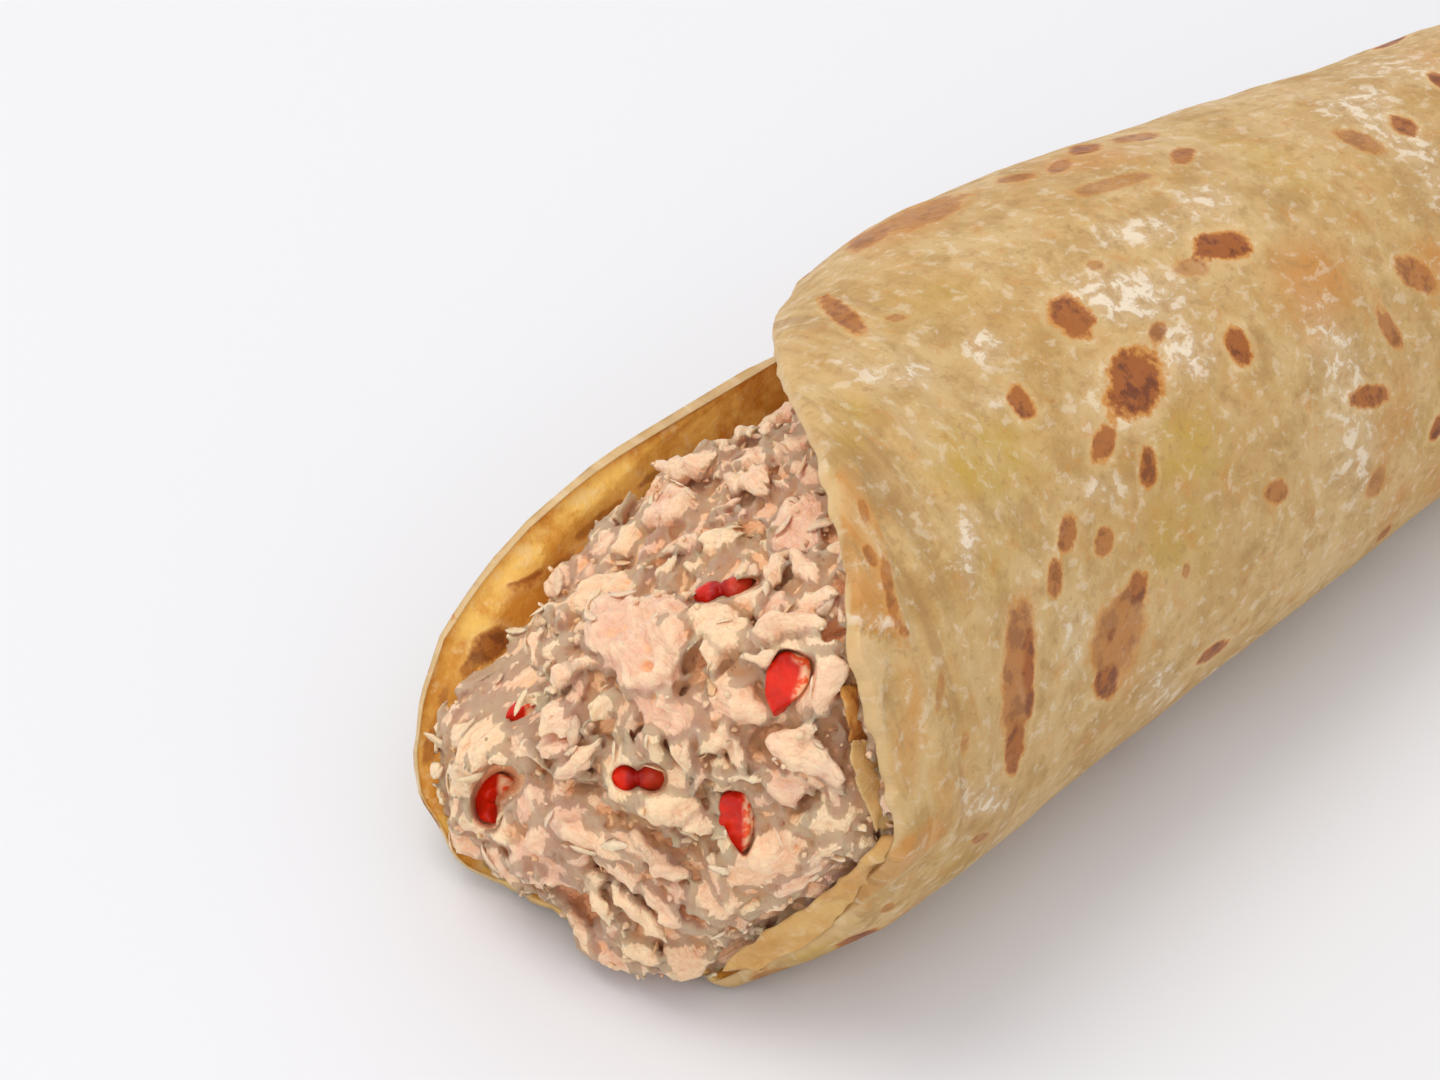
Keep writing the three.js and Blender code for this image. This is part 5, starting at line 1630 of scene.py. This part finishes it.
def makeTail():
    block = Block(tail["low"], tail["high"], tail["voxel"])
    places = block.places(np.arange(np.prod(block.shape)))
    angle, radius = placeInRoll(*places.T)
    room = readRoom(makeRoomTable(filling["pressed"]), angle, places[:, 0])
    deep = tailDepth(angle, radius, room, places[:, 0])
    rough = 1.6 * softNoise(places, 6, 51) + 2.0 * softNoise(places, 3.0, 52)
    rough = rough + 2.2 * np.abs(softNoise(places, 1.9, 55)) - 0.6
    field = np.maximum(-deep + rough, deep - tail["shell"])
    field = np.maximum(field, radius - room)
    field = np.maximum(field, rollShape["thick"] - 0.3 - places[:, 2])
    block.distance = field.reshape(block.shape).astype(np.float32)
    # how enclosed each place is, which the material uses to paint shade in hollows and light on tops
    solid = (block.distance < 0).astype(np.float32)
    hollow = blurred(solid, 3, 2)
    points, triangles, quads = keepLarge(*block.mesh(), 300)
    piece = makePiece("tuna_tail", points, quads, triangles)
    setValues(piece, tint=0.5 + 0.4 * softNoise(points, 5, 53), grain=points / 1000,
              cream=smoothStep(0, 0.5, softNoise(points, 5, 54)), hollow=block.read(hollow, points))
    return piece


# the hidden middle of the filling, which joins its two open ends
def makeCore():
    block = Block(core["low"], core["high"], core["voxel"])
    places = block.places(np.arange(np.prod(block.shape)))
    angle, radius = placeInRoll(*places.T)
    room = readRoom(makeRoomTable(-0.5), angle, places[:, 0])
    deep = depthInside(*places.T)
    toTail = tailDepth(angle, radius, room, places[:, 0])
    field = np.maximum(core["under"] - np.minimum(deep, toTail), radius - room)
    field = np.maximum(field, rollShape["thick"] + 0.5 - places[:, 2])
    block.distance = field.reshape(block.shape).astype(np.float32)
    points, triangles, quads = keepLarge(*block.mesh(), 100)
    piece = makePiece("tuna_core", points, quads, triangles)
    level = np.full(len(points), 0.5)
    setValues(piece, tint=level, cream=level, hollow=level, grain=points / 1000)
    return piece


tunaTail = makeTail()
tunaCore = makeCore()
print("wrap: filling done")

# Colours of the filling. light is also the painted light on the tops of lumps, the valley colour is a painted
# warm shade in the hollows, and brown is a painted shade in the deep crevices.
tunaLook = {
    "fish": (237, 187, 156),
    "warm": (247, 198, 157),
    "cream": (250, 218, 170),
    "light": (254, 226, 188),
    "valleyShade": (255, 184, 124),
    "shade": (226, 154, 106),
    "brown": (166, 92, 50),
    "dot": (130, 86, 60),
    "roughness": (0.5, 0.68),
}


def tunaSurface():
    look = coloursOf(tunaLook)
    skin = Surface("tuna salad")
    tint = skin.value("tint")
    cream = skin.value("cream")
    hollow = skin.value("hollow")
    grain = skin.value("grain", "Vector")
    fibres = skin.noise(0.8, 3, 0.65, place=grain, stretch=(0.3, 1.5, 1.0))
    fine = skin.noise(0.8, 4, 0.7)
    medium = skin.noise(3.0, 3, 0.6)
    grit = skin.cells(0.62)
    times, plus = skin.times, skin.plus
    warmer = skin.step(0.1, 0.7, plus(tint, skin.math("SUBTRACT", medium, 0.5)))
    base = skin.mix(warmer, look["fish"], look["warm"])
    base = skin.mix(times(skin.step(0.5, 1.0, tint), 0.5), base, look["cream"])
    base = skin.mix(times(cream, 0.3), base, look["cream"])
    base = skin.mix(times(skin.step(0.48, 0.7, fibres), 0.45), base, look["light"])
    base = skin.mix(times(skin.step(0.48, 0.3, fibres), 0.4), base, look["shade"])
    base = skin.mix(times(skin.step(0.55, 0.7, fine), 0.35), base, look["cream"])
    base = skin.mix(times(skin.step(0.45, 0.32, fine), 0.35), base, look["shade"])
    # painted light: places that stand out, where hollow is low, are lightened towards the light colour
    base = skin.mix(skin.step(0.47, 0.36, hollow, 0.0, 0.35), base, look["light"])
    # painted shade: hollows get a warm peach tint that stands in for the warm shade inside the filling
    base = skin.mix(skin.step(0.5, 0.62, hollow, 0.0, 0.6), base, look["valleyShade"])
    # painted shade: the deepest crevices are darkened to brown
    base = skin.mix(skin.step(0.7, 0.9, hollow, 0.0, 0.75), base, look["brown"])
    dots = times(skin.step(0.1, 0.05, skin.cells(3.1)), skin.step(0.5, 0.6, fine))
    base = skin.mix(times(dots, 0.7), base, look["dot"])
    height = plus(plus(fibres, times(fine, 0.9)), times(grit, -0.5))
    normal = skin.bump(height, 0.38, 0.9)
    normal = skin.bump(skin.noise(0.35, 2, 0.6), 0.1, 0.6, after=normal)
    rough = skin.step(0.3, 0.7, fine, *tunaLook["roughness"])
    return skin.finish(base, rough, normal, Subsurface_Weight=0.4, Subsurface_Scale=0.0012,
                       Subsurface_Radius=(1.0, 0.5, 0.3), Specular_IOR_Level=0.35)


tunaSkin = tunaSurface()
for piece in (tunaFace, tunaTail, tunaCore):
    piece.data.materials.append(tunaSkin)


# crumbs and shreds of fish that lie loose on the open face
crumbs = {
    "crumb": {"shapes": 5, "perSquareCm": 4, "apart": 0.7, "size": (0.35, 0.8), "lean": 3.1,
              "lift": (-0.25, -0.02), "seed": 3},
    "shred": {"shapes": 7, "perSquareCm": 3, "apart": 0.8, "size": (0.45, 1.0), "lean": 0.25,
              "lift": (-0.3, -0.12), "seed": 8},
}


# a small rough lump about 1 mm across, round its own middle
def crumbShape(name, number):
    bm = bmesh.new()
    bmesh.ops.create_icosphere(bm, subdivisions=1, radius=0.0005)
    dice = np.random.default_rng(100 + number)
    for vertex in bm.verts:
        vertex.co *= float(dice.uniform(0.5, 1.3))
    for vertex in bm.verts:
        vertex.co.z *= 0.72
        vertex.co.x *= float(1.0 + 0.3 * (number % 3))
    return shapeObject(name, bm)


# a flat shred about 3 mm long with tapered ends and a bend
def shredShape(name, number):
    dice = np.random.default_rng(200 + number)
    bend, twist = dice.uniform(-0.5, 0.5), dice.uniform(-0.7, 0.7)
    wide, thick = dice.uniform(0.35, 0.65), dice.uniform(0.1, 0.15)
    bm = bmesh.new()
    rings = []
    for t in np.linspace(-1, 1, 8):
        taper = max(1 - abs(t) ** 2.4, 0.04) ** 0.6 * dice.uniform(0.82, 1.15)
        ring = []
        for turn in np.linspace(0, 2 * math.pi, 6)[:-1]:
            y, z = wide * taper * math.cos(turn), thick * taper * math.sin(turn)
            cosine, sine = math.cos(twist * t), math.sin(twist * t)
            ring.append(bm.verts.new((0.0015 * t, (y * cosine - z * sine + 0.25 * bend * t * t) / 1000,
                                      (y * sine + z * cosine + bend * t * t) / 1000)))
        rings.append(ring)
    for first, second in zip(rings, rings[1:]):
        for k in range(5):
            bm.faces.new((first[k], second[k], second[(k + 1) % 5], first[(k + 1) % 5]))
    bm.faces.new(rings[0])
    bm.faces.new(rings[-1][::-1])
    bmesh.ops.recalc_face_normals(bm, faces=bm.faces)
    return shapeObject(name, bm)


def shapeObject(name, bm):
    mesh = bpy.data.meshes.new(name)
    for side in bm.faces:
        side.smooth = True
    bm.to_mesh(mesh)
    bm.free()
    return bpy.data.objects.new(name, mesh)


def scatterTree():
    tree = bpy.data.node_groups.new("scatter on the filling", "GeometryNodeTree")
    tree.interface.new_socket("Geometry", in_out="OUTPUT", socket_type="NodeSocketGeometry")
    wanted = {"Geometry": "Geometry", "Shapes": "Collection", "Material": "Material", "Density": "Float",
              "Apart": "Float", "Smallest": "Float", "Largest": "Float", "Lean": "Float",
              "Lowest": "Float", "Highest": "Float", "Count": "Int", "Seed": "Int"}
    for name, kind in wanted.items():
        tree.interface.new_socket(name, in_out="INPUT", socket_type="NodeSocket" + kind)
    entry = addNode(tree, "NodeGroupInput").outputs
    bare = addNode(tree, "GeometryNodeInputNamedAttribute", {"data_type": "FLOAT"}, Name="bare")
    spread = addNode(tree, "GeometryNodeDistributePointsOnFaces", {"distribute_method": "POISSON"},
                     Mesh=entry["Geometry"], Distance_Min=entry["Apart"], Density_Max=entry["Density"],
                     Density_Factor=bare.outputs["Attribute"], Seed=entry["Seed"])

    def reckon(first, second, operation="ADD"):
        node = addNode(tree, "ShaderNodeMath", {"operation": operation})
        put(tree, node.inputs[0], first)
        put(tree, node.inputs[1], second)
        return node.outputs[0]

    # a random value for each point, whole numbers for the kind INT
    def dice(low, high, salt, kind="FLOAT"):
        node = addNode(tree, "FunctionNodeRandomValue", {"data_type": kind}, Seed=reckon(entry["Seed"], salt))
        place = 2 if kind == "FLOAT" else 4
        put(tree, node.inputs[place], low)
        put(tree, node.inputs[place + 1], high)
        return node.outputs[place // 2]

    push = addNode(tree, "ShaderNodeVectorMath", {"operation": "SCALE"}, Vector=spread.outputs["Normal"],
                   Scale=dice(entry["Lowest"], entry["Highest"], 1))
    move = addNode(tree, "GeometryNodeSetPosition", Geometry=spread.outputs["Points"],
                   Offset=push.outputs[0])
    stand = addNode(tree, "FunctionNodeAlignRotationToVector", Vector=spread.outputs["Normal"])
    back = reckon(entry["Lean"], -1, "MULTIPLY")
    lean = addNode(tree, "ShaderNodeCombineXYZ", X=dice(back, entry["Lean"], 2),
                   Y=dice(back, entry["Lean"], 3), Z=dice(0.0, 2 * math.pi, 4))
    euler = addNode(tree, "FunctionNodeEulerToRotation", Euler=lean.outputs[0])
    turn = addNode(tree, "FunctionNodeRotateRotation", {"rotation_space": "LOCAL"},
                   Rotation=stand.outputs[0], Rotate_By=euler.outputs[0])
    shapes = addNode(tree, "GeometryNodeCollectionInfo", Collection=entry["Shapes"],
                     Separate_Children=True, Reset_Children=True)
    lay = addNode(tree, "GeometryNodeInstanceOnPoints", Points=move.outputs[0],
                  Instance=shapes.outputs[0], Pick_Instance=True, Rotation=turn.outputs[0],
                  Instance_Index=dice(0, entry["Count"], 5, "INT"),
                  Scale=dice(entry["Smallest"], entry["Largest"], 6))
    real = addNode(tree, "GeometryNodeRealizeInstances", Geometry=lay.outputs[0])
    paint = addNode(tree, "GeometryNodeSetMaterial", Geometry=real.outputs[0],
                    Material=entry["Material"])
    addNode(tree, "NodeGroupOutput", Geometry=paint.outputs[0])
    return tree


def scatterOver(carrier, tree, kind, makeShape, material):
    facts = crumbs[kind]
    shapes = bpy.data.collections.new(kind + " shapes")
    for number in range(facts["shapes"]):
        shapes.objects.link(makeShape(kind + " shape " + str(number), number))
    ground = bpy.data.objects.new(kind + " ground", carrier.data)
    scene.collection.objects.link(ground)
    modifier = ground.modifiers.new("scatter", "NODES")
    modifier.node_group = tree
    values = {
        "Shapes": shapes, "Material": material, "Density": facts["perSquareCm"] * 1e4,
        "Apart": facts["apart"] / 1000, "Smallest": facts["size"][0], "Largest": facts["size"][1],
        "Lean": facts["lean"], "Lowest": facts["lift"][0] / 1000, "Highest": facts["lift"][1] / 1000,
        "Count": facts["shapes"] - 1, "Seed": facts["seed"],
    }
    for socket in tree.interface.items_tree:
        if socket.in_out == "INPUT" and socket.name in values:
            modifier[socket.identifier] = values[socket.name]
    ground.update_tag()
    graph = bpy.context.evaluated_depsgraph_get()
    mesh = bpy.data.meshes.new_from_object(ground.evaluated_get(graph), preserve_all_data_layers=True,
                                           depsgraph=graph)
    mesh.name = "tuna_" + kind + "s"
    bpy.data.objects.remove(ground)
    for shape in list(shapes.objects):
        bpy.data.objects.remove(shape)
    bpy.data.collections.remove(shapes)
    piece = bpy.data.objects.new("tuna_" + kind + "s", mesh)
    scene.collection.objects.link(piece)
    print("wrap:", piece.name, len(mesh.polygons), "faces")
    return piece


scatter = scatterTree()
tunaCrumbs = scatterOver(tunaFace, scatter, "crumb", crumbShape, tunaSkin)
tunaShreds = scatterOver(tunaFace, scatter, "shred", shredShape, tunaSkin)


def pepperSurface():
    look = coloursOf(pepperLook)
    skin = Surface("red pepper")
    edge = skin.value("edge")
    side = skin.value("side")
    pair = skin.value("pair")
    blotch = skin.noise(1.8, 3, 0.6)
    base = skin.mix(skin.step(0.35, 0.7, blotch, 0.0, 0.6), look["red"], look["deep"])
    # painted shade: on the pairs the joint between the two beads is darkened to deep red
    base = skin.mix(skin.times(pair, skin.step(0.1, 0.9, edge)), base, look["deep"])
    ripe = skin.times(pair, skin.step(-0.2, 0.8, side, 0.0, 0.6))
    base = skin.mix(ripe, base, look["ripe"])
    cut = skin.times(edge, skin.step(0.2, 0.9, side))
    cut = skin.times(cut, skin.math("SUBTRACT", 1.0, pair))
    base = skin.mix(cut, base, look["cut"])
    # the cream streak on the right-hand cut edge is partly pale flesh and partly a painted highlight
    streak = skin.times(cut, skin.step(0.4, 0.55, skin.noise(0.9, 2, 0.5)))
    base = skin.mix(streak, base, look["cream"])
    normal = skin.bump(skin.noise(0.7, 3, 0.6), 0.08, 0.6)
    return skin.finish(base, pepperLook["roughness"], normal, Subsurface_Weight=0.15,
                       Subsurface_Scale=0.001, Subsurface_Radius=(1.0, 0.25, 0.15), Specular_IOR_Level=0.22,
                       Coat_Weight=0.05, Coat_Roughness=0.2)


pepperSkin = pepperSurface()
for facts in peppers.values():
    facts["piece"].data.materials.append(pepperSkin)

for piece in (chapatiPiece, *peelPieces):
    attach(piece, "root")
    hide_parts("chapati")
for piece in (tunaFace, tunaTail, tunaCore, tunaCrumbs, tunaShreds):
    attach(piece, "root")
    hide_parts("tuna_filling")
for name, facts in peppers.items():
    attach(facts["piece"], "root")
    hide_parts(name)

studio = {
    "floor": (226, 226, 227), "floorLevel": -0.0003, "sky": (244, 246, 252), "skyStrength": 0.93,
    "key": {"from": (-0.26, 0.3, 1.15), "size": 0.75, "power": 4.8, "colour": (255, 250, 243)},
    "fill": {"from": (-0.8, -0.5, 0.7), "size": 1.0, "power": 2.2, "colour": (255, 252, 250)},
}


def makeFloor():
    mesh = bpy.data.meshes.new("table")
    level, reach = studio["floorLevel"], 4.0
    corners = [(-reach, -reach, level), (reach, -reach, level), (reach, reach, level), (-reach, reach, level)]
    mesh.from_pydata(corners, [], [(0, 1, 2, 3)])
    floor = bpy.data.objects.new("table", mesh)
    scene.collection.objects.link(floor)
    skin = Surface("pale table")
    mesh.materials.append(skin.finish(colour(*studio["floor"]), 0.75, Specular_IOR_Level=0.1))


def makeLamp(name, facts):
    lamp = bpy.data.lights.new(name, "AREA")
    lamp.shape = "DISK"
    lamp.size = facts["size"]
    lamp.energy = facts["power"]
    lamp.color = colour(*facts["colour"])[:3]
    lampObject = bpy.data.objects.new(name, lamp)
    lampObject.location = facts["from"]
    aim = Vector((-0.06, 0, 0.02)) - lampObject.location
    lampObject.rotation_euler = aim.to_track_quat("-Z", "Y").to_euler()
    scene.collection.objects.link(lampObject)


def makeSky():
    world = bpy.data.worlds.new("studio")
    world.use_nodes = True
    sky = world.node_tree.nodes["Background"]
    sky.inputs["Color"].default_value = colour(*studio["sky"])
    sky.inputs["Strength"].default_value = studio["skyStrength"]
    scene.world = world


def makeCamera():
    lens = bpy.data.cameras.new("camera")
    lens.sensor_width = photoView["sensor"]
    lens.lens = photoView["focal"] * photoView["sensor"] / photoView["width"]
    lens.clip_start = 0.01
    lens.dof.use_dof = False
    camera = bpy.data.objects.new("camera", lens)
    turn = Matrix([viewRight, viewUp, viewBack]).transposed().to_4x4()
    camera.matrix_world = Matrix.Translation(Vector((viewPoint + offset) / 1000)) @ turn
    scene.collection.objects.link(camera)
    scene.camera = camera


makeFloor()
makeLamp("key", studio["key"])
makeLamp("fill", studio["fill"])
makeSky()
makeCamera()
scene.view_settings.view_transform = "Standard"

print("wrap: scene ready")
